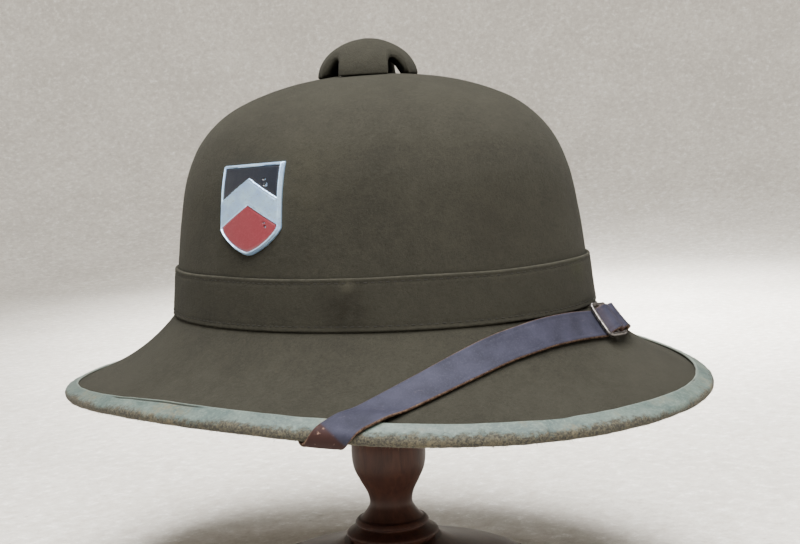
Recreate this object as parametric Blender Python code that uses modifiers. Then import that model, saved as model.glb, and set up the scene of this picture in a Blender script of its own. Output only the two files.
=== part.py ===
"""Felt pith helmet with a leather chin strap, standing on a turned wooden hat stand.

Metres, +Z up. The helmet's front faces -Y, and its wearer's right is -X.
The origin is the centre of the stand's underside.
The helmet's own pieces are modelled about the centre of the hat band's foot,
which is carried by the empty helmet_seat.
"""

import functools
import math

import bpy
from mathutils import Matrix, Vector

MM = 0.001

# Clearances
FIT_GAP = 0.3 * MM
STRAP_GAP = 0.6 * MM
HOLE_GAP = 0.3 * MM

# Felt crown: one oval wall, widest at the hat band's foot
CROWN_LENGTH = 208 * MM
CROWN_WIDTH = 177 * MM
CROWN_HEIGHT = 107 * MM
FELT_WALL = 2.4 * MM
VENT_HOLE_RADIUS = 4.0 * MM

# Columns: share of the crown's height, share of its half length or half width
CROWN_PROFILE = (
    (0.00, 1.000),
    (0.20, 0.977),
    (0.40, 0.948),
    (0.58, 0.909),
    (0.73, 0.832),
    (0.85, 0.701),
    (0.93, 0.512),
    (0.98, 0.293),
    (1.00, 0.000),
)

# Brim: its width from the crown to the middle of the bound edge, and the edge's drop
FRONT_BRIM = 49.3 * MM
BACK_BRIM = 59.6 * MM
SIDE_BRIM = 43.3 * MM
FRONT_DROP = 37.9 * MM
BACK_DROP = 37.2 * MM
SIDE_DROP = 30.5 * MM
CORNER_DROP = 1.6 * MM
EDGE_ROUNDNESS = 2.08
BRIM_FALL = 0.572
BRIM_FLARE = 0.274

# Hat band
BAND_HEIGHT = 21 * MM
BAND_WALL = 1.2 * MM

# Leather binding folded over the brim's edge
BINDING_WALL = 1.0 * MM
BINDING_WIDTH = 6.8 * MM

# Vent cap on the crown's top, its turn in degrees
CAP_RADIUS = 23.2 * MM
CAP_RISE = 16.6 * MM
CAP_FOOT = 0.8 * MM
CAP_TUCK = 0.2 * MM
CAP_WALL = 2.4 * MM
ARCH_WIDTH = 11.8 * MM
ARCH_RISE = 6.6 * MM
ARCH_COUNT = 4
CAP_TURN = -10

# Post that holds the vent cap
POST_RADIUS = 3.4 * MM
POST_WASHER_RADIUS = 9 * MM
POST_WASHER_WALL = 1.5 * MM

# Shield badge on the wearer's right
SHIELD_HEIGHT = 38.2 * MM
SHIELD_WIDTH = 34.6 * MM
SHIELD_MIDDLE = 49.8 * MM
SHIELD_AHEAD = 1.9 * MM
SHIELD_TILT = math.radians(2)
SHIELD_STRAIGHT = 0.705
SHIELD_POINT = 1.4
SHIELD_WALL = 1.1 * MM
SHIELD_RIM = 1.4 * MM
ENAMEL_WALL = 0.5 * MM
CHEVRON_WIDTH = 11 * MM
CHEVRON_RISE = 9.5 * MM
CHEVRON_PEAK = 0.16
PRONG_RADIUS = 1.0 * MM
PRONG_SPACING = 21 * MM

# Chin strap, the angle in degrees from the front
STRAP_WIDTH = 14 * MM
STRAP_WALL = 1.6 * MM
STRAP_RETURN = 14 * MM
STRAP_TIP = 6 * MM
TIP_NARROWING = 0.8
TIP_POINT = 1.5
STUD_RADIUS = 1.7 * MM
STUD_HEAD_RADIUS = 4 * MM
STUD_HEAD_WALL = 1.2 * MM
STUD_HEIGHT = 12 * MM
BUCKLE_ANGLE = 12.5
BUCKLE_LENGTH = 18 * MM
BUCKLE_WIDTH = 18.4 * MM
BUCKLE_BAR = 1.7 * MM
BUCKLE_WALL = 1.5 * MM
BUCKLE_BEVEL = 0.35 * MM

# The strap's middle line on the brim's top, from each side's edge to the front.
# Columns: degrees from the front, share of the brim's width
STRAP_OVER_RIGHT = (
    (60.5, 1.00),
    (57.0, 0.82),
    (52.3, 0.635),
    (46.3, 0.465),
    (40, 0.33),
    (33, 0.235),
    (25, 0.165),
    (15, 0.12),
    (5, 0.113),
)
STRAP_OVER_LEFT = (
    (72.0, 1.00),
    (67.5, 0.77),
    (62, 0.55),
    (55, 0.39),
    (46, 0.27),
    (36, 0.21),
    (25, 0.18),
    (15, 0.155),
    (5, 0.125),
)

# The strap's middle line under the brim, from the edge to the crown's wall.
# Columns: degrees from the front, share of the brim's width
STRAP_UNDER_RIGHT = (
    (63.8, 1.00),
    (67.8, 0.75),
    (73.5, 0.50),
    (80.5, 0.25),
    (88.5, 0.00),
)
STRAP_UNDER_LEFT = (
    (76.0, 1.00),
    (79.5, 0.75),
    (83.5, 0.50),
    (87.5, 0.25),
    (91.5, 0.00),
)
STUD_ANGLE = 96.5
STRAP_END_ANGLE = 101.5
STRAP_END_HEIGHT = 20 * MM
STRAP_STEP_DOWN = 8 * MM
STRAP_CORNER = 5 * MM
STRAP_SETTLE = 6 * MM

# The strap's upper edge leans on the band within a span of the crown's foot
LEAN_SPAN = 20 * MM
LEAN_RISE = 1.2 * MM
LEAN_SOFTNESS = 0.08

# Hat stand, the head's middle as a share of its radius
SEAT_HEIGHT = 140 * MM
BASE_RADIUS = 72 * MM
BASE_HEIGHT = 26 * MM
TURNING_HEIGHT = 74 * MM
BULB_RADIUS = 17.8 * MM
SHAFT_RADIUS = 11 * MM
HEAD_RADIUS = 40 * MM
HEAD_HEIGHT = 22 * MM
HEAD_MIDDLE = 0.35
SPIGOT_RADIUS = 8 * MM
SPIGOT_LENGTH = 12 * MM

# Columns: share of the head's radius, share of the way from its rim down to its underside
HEAD_EDGE = (
    (1.02, 0.30),
    (0.93, 0.60),
    (0.62, 0.85),
    (0.36, 1.00),
)

# Columns: share of the base's radius, share of the base's height
BASE_PROFILE = (
    (0.32, 1.00),
    (0.44, 0.84),
    (0.62, 0.68),
    (0.80, 0.55),
    (0.93, 0.43),
    (1.00, 0.30),
    (1.00, 0.10),
    (0.98, 0.00),
)

# Columns: share of the turning's height, share of the bulb's radius
COLUMN_PROFILE = (
    (0.000, 1.18),
    (0.040, 1.24),
    (0.080, 0.92),
    (0.100, 1.00),
    (0.125, 0.93),
    (0.135, 0.83),
    (0.180, 0.67),
    (0.230, 0.575),
    (0.300, 0.63),
    (0.380, 0.80),
    (0.460, 0.95),
    (0.550, 1.00),
    (0.640, 0.97),
    (0.760, 0.80),
    (0.880, 0.60),
    (0.950, 0.56),
)

# Mesh divisions
AROUND = 46
CROWN_ROWS = 11
BRIM_ROWS = (0.0, 0.14, 0.30, 0.48, 0.69)
BAND_ROWS = 3
TURNED_STEPS = 20
BASE_STEPS = 30
SMALL_STEPS = 14
STRAP_COLUMNS = 4
STRAP_STEP = 10 * MM
STRAP_AIM = 3.5 * MM
STRAP_FINE_STEP = 2.6 * MM
STRAP_MARGIN = 0.7 * STRAP_WIDTH
SPLINE_STEPS = 8
STRAP_SPLINE_STEPS = 6
BAR_STEPS = 4
FOLD_STEPS = 6
RETURN_STEPS = 4
SETTLE_STEPS = 3
CAP_STEPS = 6
CAP_INNER_STEPS = 5
SHIELD_COLUMNS = 8
PLATE_ROWS = 5
DARK_FIELD_ROWS = 3
RED_FIELD_ROWS = 4
HEAD_RINGS = 6
RULING_STEPS = 16
BINDING_TURNS = (0, 45, 90, 135, 180)
BINDING_INNER_TURNS = (0, 90, 180)
MERGE_DISTANCE = 0.01 * MM
SHARP_ANGLE = math.radians(40)
BEVEL_ANGLE = math.radians(50)

# Steps over which a surface's slope is read, and the lowest height for the crown's
SLOPE_TURN = math.radians(0.5)
SLOPE_RISE = 0.01 * CROWN_HEIGHT
SLOPE_REACH = 0.02
SLOPE_FOOT = 0.02 * CROWN_HEIGHT
EDGE_AIM = 0.9

BINDING_RADIUS = FELT_WALL / 2 + FIT_GAP + BINDING_WALL
WRAP_RADIUS = BINDING_RADIUS + STRAP_GAP + STRAP_WALL / 2
WRAP_TRAVEL = math.pi * WRAP_RADIUS


def blend(start, end, share):
    return start + (end - start) * share


def ease(share):
    share = min(max(share, 0.0), 1.0)
    return share * share * (3 - 2 * share)


def read_table(rows, value):
    """The second column of a table whose first column rises, read at a value of the first."""
    for (low, first), (high, second) in zip(rows, rows[1:]):
        if value <= high:
            return blend(first, second, (value - low) / (high - low))
    return rows[-1][1]


def spline(rows, steps, ghost=None):
    """A smooth curve through rows of numbers, with steps points for each span."""
    points = [Vector(row) for row in rows]
    before = 2 * points[0] - points[1]
    after = Vector(ghost) if ghost else 2 * points[-1] - points[-2]
    points = [before] + points + [after]
    curve = []
    for a, b, c, d in zip(points, points[1:], points[2:], points[3:]):
        for step in range(steps):
            t = step / steps
            curve.append(
                0.5 * (2 * b + (c - a) * t + (2 * a - 5 * b + 4 * c - d) * t**2)
                + 0.5 * (3 * b - a - 3 * c + d) * t**3
            )
    curve.append(points[-2])
    return curve


def divisions(count):
    return [2 * math.pi * index / count for index in range(count)]


# Surfaces of the felt, by the angle from the front towards the wearer's left

APEX_GHOST = (CROWN_PROFILE[-2][0], -CROWN_PROFILE[-2][1])
PROFILE_CURVE = [tuple(row) for row in spline(CROWN_PROFILE, SPLINE_STEPS, APEX_GHOST)]


def crown_share(height):
    return read_table(PROFILE_CURVE, height / CROWN_HEIGHT)


def crown_point(angle, height):
    share = crown_share(height)
    across = CROWN_WIDTH / 2 * share * math.sin(angle)
    along = -CROWN_LENGTH / 2 * share * math.cos(angle)
    return Vector((across, along, height))


def crown_height(share):
    """The height at which the crown has shrunk to a share of its foot."""
    falling = [(-row[1], row[0]) for row in PROFILE_CURVE]
    return CROWN_HEIGHT * read_table(falling, -share)


def edge_centre(angle):
    """The middle of the bound edge."""
    ahead = math.cos(angle)
    aside = math.sin(angle)
    brim, drop = (FRONT_BRIM, FRONT_DROP) if ahead > 0 else (BACK_BRIM, BACK_DROP)
    n = EDGE_ROUNDNESS
    fullness = (abs(ahead) ** n + abs(aside) ** n) ** (-1 / n)
    across = (CROWN_WIDTH / 2 + SIDE_BRIM) * aside * fullness
    along = -(CROWN_LENGTH / 2 + brim) * ahead * fullness
    fall = blend(SIDE_DROP, drop, ahead**2) + CORNER_DROP * (2 * ahead * aside) ** 2
    return Vector((across, along, -fall))


def brim_point(angle, reach):
    """The brim's top, from the crown at reach 0 to the bound edge at reach 1."""
    point = blend(crown_point(angle, 0), edge_centre(angle), reach)
    bow = reach * (1 - reach)
    fall = reach + BRIM_FALL * bow + BRIM_FLARE * bow * (1 - 2 * reach)
    point.z = edge_centre(angle).z * fall + reach * FELT_WALL / 2
    return point


def slopes(surface, angle, share, span):
    """Steps of a surface along its angle and along its other coordinate."""
    turn = SLOPE_TURN
    along = (surface(angle + turn, share) - surface(angle - turn, share)) / (2 * turn)
    down = surface(angle, share + span) - surface(angle, share - span)
    return along, down


def crown_normal(angle, height):
    along, up = slopes(crown_point, angle, max(height, SLOPE_FOOT), SLOPE_RISE)
    return along.cross(up).normalized()


def brim_normal(angle, reach):
    along, out = slopes(brim_point, angle, reach, SLOPE_REACH)
    return out.cross(along).normalized()


def edge_outward(angle):
    return (brim_point(angle, 1) - brim_point(angle, EDGE_AIM)).normalized()


@functools.lru_cache(maxsize=None)
def ruling(angle):
    """Rows of distance in from the bound edge and reach, along one line of the brim."""
    rows = [(0.0, 1.0)]
    last = brim_point(angle, 1)
    for step in range(1, RULING_STEPS + 1):
        reach = 1 - step / RULING_STEPS
        point = brim_point(angle, reach)
        rows.append((rows[-1][0] + (point - last).length, reach))
        last = point
    return rows


def reach_from_edge(angle, distance):
    rows = ruling(angle)
    if distance > rows[-1][0]:
        return (rows[-1][0] - distance) / (rows[-1][0] - rows[-2][0]) / RULING_STEPS
    return read_table(rows, distance)


def edge_distance(angle, reach):
    return read_table([(1 - row[1], row[0]) for row in ruling(angle)], 1 - reach)


def brim_width(angle):
    return ruling(angle)[-1][0]


# Objects

def clear_scene():
    for old in list(bpy.data.objects):
        bpy.data.objects.remove(old, do_unlink=True)


def new_collection(name):
    collection = bpy.data.collections.new(name)
    bpy.context.scene.collection.children.link(collection)
    return collection


def new_material(name, color, roughness, metallic=0.0):
    material = bpy.data.materials.new(name)
    material.use_nodes = True
    shader = material.node_tree.nodes["Principled BSDF"]
    shader.inputs["Base Color"].default_value = (*color, 1)
    shader.inputs["Roughness"].default_value = roughness
    shader.inputs["Metallic"].default_value = metallic
    return material


clear_scene()
PARTS = new_collection("pith_helmet_on_stand")
CUTTERS = new_collection("cutters")

FELT = new_material("olive_felt", (0.105, 0.095, 0.058), 0.95)
BAND_FELT = new_material("band_felt", (0.095, 0.087, 0.053), 0.95)
CAP_FELT = new_material("cap_felt", (0.090, 0.083, 0.050), 0.95)
BINDING_LEATHER = new_material("grey_green_leather", (0.20, 0.24, 0.21), 0.65)
STRAP_LEATHER = new_material("brown_leather", (0.075, 0.050, 0.052), 0.42)
STEEL = new_material("dark_steel", (0.12, 0.11, 0.11), 0.45, 0.8)
SILVER = new_material("silvered_metal", (0.66, 0.67, 0.69), 0.32, 1.0)
DARK_ENAMEL = new_material("dark_enamel", (0.015, 0.017, 0.026), 0.25)
RED_ENAMEL = new_material("red_enamel", (0.50, 0.035, 0.030), 0.3)
WOOD = new_material("dark_wood", (0.085, 0.022, 0.012), 0.28)


def add_empty(name, location):
    empty = bpy.data.objects.new(name, None)
    empty.location = location
    PARTS.objects.link(empty)
    return empty


def add_mesh(name, points, faces, material):
    mesh = bpy.data.meshes.new(name)
    mesh.from_pydata(points, [], faces)
    mesh.validate()
    mesh.shade_smooth()
    mesh.set_sharp_from_angle(angle=SHARP_ANGLE)
    mesh.materials.append(material)
    obj = bpy.data.objects.new(name, mesh)
    PARTS.objects.link(obj)
    return obj


def surface(name, rows, material, closed=False):
    """An open sheet through rows of points. A closed one joins each row's ends."""
    count = len(rows[0])
    spans = count if closed else count - 1
    faces = []
    for row in range(len(rows) - 1):
        for column in range(spans):
            near = row * count + column
            beside = row * count + (column + 1) % count
            faces.append((near, near + count, beside + count, beside))
    points = [point for row in rows for point in row]
    return add_mesh(name, points, faces, material)


def hoop(name, sections, material):
    """A closed ring through closed sections, each a loop of points."""
    count = len(sections[0])
    faces = []
    for index in range(len(sections)):
        following = (index + 1) % len(sections)
        for corner in range(count):
            beside = (corner + 1) % count
            faces.append(
                (
                    index * count + corner,
                    following * count + corner,
                    following * count + beside,
                    index * count + beside,
                )
            )
    points = [point for section in sections for point in section]
    return add_mesh(name, points, faces, material)


def thicken(obj, wall, offset):
    """Offset -1 keeps the sheet as the outer face, 0 keeps it in the middle."""
    modifier = obj.modifiers.new("wall", "SOLIDIFY")
    modifier.thickness = wall
    modifier.offset = offset
    modifier.use_even_offset = True
    modifier.use_quality_normals = True


def turned(name, profile, steps, material):
    """A solid of revolution. The profile runs down its outer side, from the axis to the axis."""
    mesh = bpy.data.meshes.new(name)
    points = [(radius, 0, height) for radius, height in profile]
    mesh.from_pydata(points, [(i, i + 1) for i in range(len(points) - 1)], [])
    mesh.materials.append(material)
    obj = bpy.data.objects.new(name, mesh)
    PARTS.objects.link(obj)
    screw = obj.modifiers.new("turn", "SCREW")
    screw.steps = steps
    screw.render_steps = steps
    screw.use_merge_vertices = True
    screw.merge_threshold = MERGE_DISTANCE
    screw.use_smooth_shade = True
    return obj


def add_cutter(name, radius, length, matrix):
    """A round cutter about its own Z axis, placed by a matrix."""
    bpy.ops.mesh.primitive_cylinder_add(vertices=SMALL_STEPS, radius=radius, depth=length)
    cutter = bpy.context.object
    cutter.name = name
    for collection in list(cutter.users_collection):
        collection.objects.unlink(cutter)
    CUTTERS.objects.link(cutter)
    cutter.matrix_world = matrix
    cutter.hide_render = True
    cutter.display_type = "WIRE"
    return cutter


def combine(obj, other, operation):
    modifier = obj.modifiers.new(other.name, "BOOLEAN")
    modifier.operation = operation
    modifier.solver = "EXACT"
    modifier.object = other


def round_edges(obj, width):
    bevel = obj.modifiers.new("soft_edges", "BEVEL")
    bevel.width = width
    bevel.segments = 1
    bevel.limit_method = "ANGLE"
    bevel.angle_limit = BEVEL_ANGLE


def axis_frame(origin, axis, ahead=Vector((0, 0, 1))):
    """A matrix whose Z axis is the given axis and whose Y axis leans ahead."""
    z_axis = axis.normalized()
    x_axis = ahead.cross(z_axis).normalized()
    y_axis = z_axis.cross(x_axis)
    return Matrix.Translation(origin) @ Matrix((x_axis, y_axis, z_axis)).transposed().to_4x4()


HELMET = add_empty("helmet_seat", (0, 0, SEAT_HEIGHT))
SEAT = Matrix.Translation((0, 0, SEAT_HEIGHT))


def on_helmet(obj):
    obj.parent = HELMET
    return obj


# Felt crown and brim

def crown_rows():
    """Heights of the crown's rows above the band, evenly spaced along its profile."""
    mean = (CROWN_LENGTH + CROWN_WIDTH) / 4
    outline = [(0.0, BAND_HEIGHT)]
    last = (mean * crown_share(BAND_HEIGHT), BAND_HEIGHT)
    for share_up, share_out in PROFILE_CURVE:
        height = share_up * CROWN_HEIGHT
        if height <= BAND_HEIGHT or share_out * mean < VENT_HOLE_RADIUS:
            continue
        point = (mean * share_out, height)
        outline.append((outline[-1][0] + math.dist(point, last), height))
        last = point
    whole = outline[-1][0]
    return [read_table(outline, whole * row / CROWN_ROWS) for row in range(1, CROWN_ROWS)]


def vent_rim(angle):
    """The round hole at the crown's top."""
    height = crown_height(VENT_HOLE_RADIUS / (CROWN_LENGTH / 2))
    across = VENT_HOLE_RADIUS * math.sin(angle)
    return Vector((across, -VENT_HOLE_RADIUS * math.cos(angle), height))


def band_heights():
    return [BAND_HEIGHT * row / (BAND_ROWS - 1) for row in range(BAND_ROWS)]


def binding_reach(angle):
    return reach_from_edge(angle, BINDING_WIDTH)


def make_felt_body():
    angles = divisions(AROUND)
    rows = [[vent_rim(angle) for angle in angles]]
    for height in reversed(crown_rows()):
        rows.append([crown_point(angle, height) for angle in angles])
    for height in reversed(band_heights()[1:]):
        rows.append([crown_point(angle, height) for angle in angles])
    for reach in BRIM_ROWS:
        rows.append([brim_point(angle, reach) for angle in angles])
    rows.append([brim_point(angle, binding_reach(angle)) for angle in angles])
    rows.append([brim_point(angle, 1) for angle in angles])
    body = surface("felt_body", rows, FELT, closed=True)
    thicken(body, FELT_WALL, -1)
    return on_helmet(body)


def make_hat_band():
    """A felt band round the crown's foot, its lower edge just clear of the brim."""
    sections = []
    for angle in divisions(AROUND):
        inner = []
        outer = []
        for height in band_heights():
            normal = crown_normal(angle, height)
            face = crown_point(angle, height)
            if height == 0:
                face.z += FIT_GAP
            inner.append(face + normal * FIT_GAP)
            outer.append(face + normal * (FIT_GAP + BAND_WALL))
        sections.append(outer + inner[::-1])
    return on_helmet(hoop("hat_band", sections, BAND_FELT))


def binding_section(angle):
    """Leather folded round the brim's edge, from its top lip round to its lower lip."""
    centre = edge_centre(angle)
    normal = brim_normal(angle, 1)
    out = edge_outward(angle)
    lip = binding_reach(angle)
    lip_face = brim_point(angle, lip)
    lip_normal = brim_normal(angle, lip)
    inner_radius = FELT_WALL / 2 + FIT_GAP
    outer = [lip_face + lip_normal * (FIT_GAP + BINDING_WALL)]
    inner = [lip_face + lip_normal * FIT_GAP]
    for degrees in BINDING_TURNS:
        turn = math.radians(degrees)
        direction = normal * math.cos(turn) + out * math.sin(turn)
        outer.append(centre + direction * BINDING_RADIUS)
        if degrees in BINDING_INNER_TURNS:
            inner.append(centre + direction * inner_radius)
    outer.append(lip_face - lip_normal * (FELT_WALL + FIT_GAP + BINDING_WALL))
    inner.append(lip_face - lip_normal * (FELT_WALL + FIT_GAP))
    return outer[::-1] + inner


def make_brim_binding():
    sections = [binding_section(angle) for angle in divisions(AROUND)]
    return on_helmet(hoop("brim_binding", sections, BINDING_LEATHER))


# Vent cap and its post

def dome(radius, rise, foot, quarter_steps):
    """Points from the top of a dome down to the top of its foot."""
    points = []
    for step in range(quarter_steps + 1):
        turn = math.pi / 2 * step / quarter_steps
        points.append((radius * math.sin(turn), foot + (rise - foot) * math.cos(turn)))
    return points


def cap_foot_height():
    """The crown's height under the vent cap's foot, on its longer and higher half."""
    return crown_height(CAP_RADIUS / (CROWN_LENGTH / 2)) + FIT_GAP


def make_vent_cap():
    """A felt-covered dome that stands on four feet, with an arch between each two."""
    foot = cap_foot_height()
    outside = dome(CAP_RADIUS, CROWN_HEIGHT + CAP_RISE, foot + CAP_FOOT, CAP_STEPS)
    under = CROWN_HEIGHT + CAP_RISE - CAP_WALL
    inside = dome(CAP_RADIUS - CAP_WALL, under, foot + CAP_FOOT, CAP_INNER_STEPS)
    sole = [(CAP_RADIUS - CAP_TUCK, foot), (CAP_RADIUS - CAP_WALL - CAP_TUCK, foot)]
    cap = on_helmet(turned("vent_cap", outside + sole + inside[::-1], TURNED_STEPS, CAP_FELT))
    length = 3 * CAP_RADIUS
    middle = Vector((0, 0, CROWN_HEIGHT + ARCH_RISE - ARCH_WIDTH / 2))
    for index in range(ARCH_COUNT // 2):
        turn = math.radians(CAP_TURN) + 2 * math.pi * index / ARCH_COUNT
        axis = Vector((math.cos(turn), math.sin(turn), 0))
        cutter = add_cutter(
            f"arch_cutter_{index}", ARCH_WIDTH / 2, length, SEAT @ axis_frame(middle, axis)
        )
        combine(cap, cutter, "DIFFERENCE")
    return cap


def washer_height():
    """The crown's inner face at the rim of the post's lower washer."""
    half = CROWN_WIDTH / 2
    return crown_height((POST_WASHER_RADIUS + FELT_WALL) / half) - FELT_WALL - FIT_GAP


def make_vent_post():
    """One pin with a washer at each end, under the dome and under the crown."""
    top = CROWN_HEIGHT + CAP_RISE - CAP_WALL - FIT_GAP
    drop = dome(CAP_RADIUS - CAP_WALL, CAP_RISE - CAP_WALL, CAP_FOOT, 2 * CAP_STEPS)
    dip = CAP_RISE - CAP_WALL - read_table(drop, POST_WASHER_RADIUS)
    top -= dip
    low = washer_height()
    profile = [
        (0, top),
        (POST_WASHER_RADIUS, top),
        (POST_WASHER_RADIUS, top - POST_WASHER_WALL),
        (POST_RADIUS, top - POST_WASHER_WALL),
        (POST_RADIUS, low),
        (POST_WASHER_RADIUS, low),
        (POST_WASHER_RADIUS, low - POST_WASHER_WALL),
        (0, low - POST_WASHER_WALL),
    ]
    return on_helmet(turned("vent_post", profile, SMALL_STEPS, STEEL))


# Shield badge

def shield_spot(aside, height, lift):
    """A point over the crown's right wall, by the shield's own places aside and up."""
    up = height - SHIELD_MIDDLE
    back = aside * math.cos(SHIELD_TILT) + up * math.sin(SHIELD_TILT) - SHIELD_AHEAD
    height = SHIELD_MIDDLE + up * math.cos(SHIELD_TILT) - aside * math.sin(SHIELD_TILT)
    half = CROWN_LENGTH / 2 * crown_share(height)
    angle = -math.acos(-back / half)
    return crown_point(angle, height) + crown_normal(angle, height) * lift


def shield_foot(aside, inset):
    """The height of the shield's lower edge, drawn in by an inset."""
    half = SHIELD_WIDTH / 2 - inset
    bow = SHIELD_HEIGHT * (1 - SHIELD_STRAIGHT) - inset
    curve = (1 - min(abs(aside) / half, 1) ** SHIELD_POINT) ** (1 / SHIELD_POINT)
    return shield_top(0) - SHIELD_HEIGHT * SHIELD_STRAIGHT - bow * curve


def shield_top(inset):
    return SHIELD_MIDDLE + SHIELD_HEIGHT / 2 - inset


def chevron_line(aside, below):
    """The height of the chevron's upper edge, or of a line a distance below it."""
    peak = shield_top(0) - CHEVRON_PEAK * SHIELD_HEIGHT
    return peak - CHEVRON_RISE * abs(aside) / (SHIELD_WIDTH / 2) - below


def shield_sheet(name, low, high, inset, lift, wall, rows, material):
    """A sheet over the crown, between a lower and an upper edge read at each column."""
    half = SHIELD_WIDTH / 2 - inset
    columns = SHIELD_COLUMNS
    grid = []
    for row in range(rows + 1):
        line = []
        for column in range(columns + 1):
            aside = half * math.sin(math.pi / 2 * (1 - 2 * column / columns))
            height = blend(high(aside), low(aside), row / rows)
            line.append(shield_spot(aside, height, lift))
        grid.append(line)
    sheet = surface(name, grid, material)
    thicken(sheet, wall, 1)
    return on_helmet(sheet)


def make_shield():
    plate = shield_sheet(
        "shield_plate",
        lambda aside: shield_foot(aside, 0),
        lambda aside: shield_top(0),
        0,
        FIT_GAP,
        SHIELD_WALL,
        PLATE_ROWS,
        SILVER,
    )
    enamel_lift = 2 * FIT_GAP + SHIELD_WALL
    shield_sheet(
        "shield_field_dark",
        lambda aside: chevron_line(aside, 0),
        lambda aside: shield_top(SHIELD_RIM),
        SHIELD_RIM,
        enamel_lift,
        ENAMEL_WALL,
        DARK_FIELD_ROWS,
        DARK_ENAMEL,
    )
    shield_sheet(
        "shield_field_red",
        lambda aside: shield_foot(aside, SHIELD_RIM),
        lambda aside: chevron_line(aside, CHEVRON_WIDTH),
        SHIELD_RIM,
        enamel_lift,
        ENAMEL_WALL,
        RED_FIELD_ROWS,
        RED_ENAMEL,
    )
    return plate


def add_prongs(plate, body):
    """Two pins on the back of the plate, each in its own hole in the felt."""
    for index, sign in enumerate((-1, 1)):
        height = SHIELD_MIDDLE + sign * PRONG_SPACING / 2
        inward = -(crown_normal(-math.pi / 2, height))
        length = SHIELD_WALL / 2 + FIT_GAP + FELT_WALL
        start = shield_spot(0, height, FIT_GAP + SHIELD_WALL / 2)
        middle = start + inward * length / 2
        placed = SEAT @ axis_frame(middle, inward)
        prong = add_cutter(f"prong_{index}", PRONG_RADIUS, length, placed)
        hole = add_cutter(
            f"prong_hole_{index}", PRONG_RADIUS + HOLE_GAP, 2 * length, placed
        )
        combine(plate, prong, "UNION")
        combine(body, hole, "DIFFERENCE")


# Chin strap: one loop, laid out on the brim as on an unrolled sheet.
# Travel runs in from the bound edge's top below zero, round the edge up to
# WRAP_TRAVEL, and from there under the brim and up the crown's inner wall.

def over_binding(distance):
    """Share of the binding's thickness that a strap has under it, by distance from the edge."""
    return 1 - ease((distance - BINDING_WIDTH - BINDING_WALL) / STRAP_STEP_DOWN)


def lean(angle, distance):
    """How far the strap stands off near the crown's foot, by distance from the edge."""
    near = 1 - (brim_width(angle) - distance) / LEAN_SPAN
    return LEAN_RISE * (near + math.hypot(near, LEAN_SOFTNESS)) / 2


def strap_spot(angle, travel, raised):
    """A point of the strap's mid-wall, raised off the surface that it lies on."""
    rest = STRAP_GAP + STRAP_WALL / 2 + raised
    bound = FIT_GAP + BINDING_WALL
    if travel <= 0:
        reach = reach_from_edge(angle, -travel)
        lift = rest + bound * over_binding(-travel) + lean(angle, -travel)
        return brim_point(angle, reach) + brim_normal(angle, reach) * lift
    if travel <= WRAP_TRAVEL:
        turn = math.pi * travel / WRAP_TRAVEL
        out = edge_outward(angle)
        direction = brim_normal(angle, 1) * math.cos(turn) + out * math.sin(turn)
        return edge_centre(angle) + direction * (WRAP_RADIUS + raised)
    inward = travel - WRAP_TRAVEL
    depth = FELT_WALL + rest + bound * over_binding(inward)
    width = brim_width(angle)
    share = ease((inward - width + STRAP_CORNER) / (2 * STRAP_CORNER))
    depth += 2 * STRAP_GAP * (1 - abs(2 * share - 1))
    if inward <= width:
        reach = reach_from_edge(angle, inward)
        face = brim_point(angle, reach)
        beside = crown_normal(angle, 0)
        normal = blend(brim_normal(angle, reach), beside, share).normalized()
    else:
        height = inward - width
        face = crown_point(angle, height)
        beside = brim_normal(angle, 0)
        wall_normal = crown_normal(angle, height)
        normal = blend(beside, wall_normal, share).normalized()
    return face - normal * depth


def turn_radius(angle, travel):
    """How far the strap's surface moves for each radian of the angle."""
    ahead = strap_spot(angle + SLOPE_TURN, travel, 0)
    behind = strap_spot(angle - SLOPE_TURN, travel, 0)
    return (ahead - behind).length / (2 * SLOPE_TURN)


def wall_travel(angle, height):
    return WRAP_TRAVEL + brim_width(math.radians(angle)) + height


def half_route(under, over):
    """Rows of degrees from the front and travel, from the crown's inside to the front."""
    rows = [(STRAP_END_ANGLE, wall_travel(STRAP_END_ANGLE, STRAP_END_HEIGHT))]
    rows.append((STUD_ANGLE, wall_travel(STUD_ANGLE, STUD_HEIGHT)))
    for angle, reach in reversed(under):
        rows.append((angle, WRAP_TRAVEL + edge_distance(math.radians(angle), reach)))
    for angle, reach in over:
        rows.append((angle, -edge_distance(math.radians(angle), reach)))
    return rows


def strap_line():
    """The loop's middle line, right side to left: rows of length, angle and travel."""
    right_half = half_route(STRAP_UNDER_RIGHT, STRAP_OVER_RIGHT)
    left_half = half_route(STRAP_UNDER_LEFT, STRAP_OVER_LEFT)
    right = [(-math.radians(angle), travel) for angle, travel in right_half]
    left = [(math.radians(angle), travel) for angle, travel in reversed(left_half)]
    line = []
    length = 0.0
    for point in spline(right + left, STRAP_SPLINE_STEPS):
        angle, travel = point
        if line:
            _, last_angle, last_travel = line[-1]
            swing = (angle - last_angle) * turn_radius(angle, travel)
            length += math.hypot(swing, travel - last_travel)
        line.append((length, angle, travel))
    return line


STRAP_LINE = strap_line()
LINE_ANGLES = [(row[0], row[1]) for row in STRAP_LINE]
LINE_TRAVELS = [(row[0], row[2]) for row in STRAP_LINE]
LOOP_LENGTH = STRAP_LINE[-1][0]
BUCKLE_PLACE = read_table([(row[1], row[0]) for row in STRAP_LINE], math.radians(BUCKLE_ANGLE))


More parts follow.
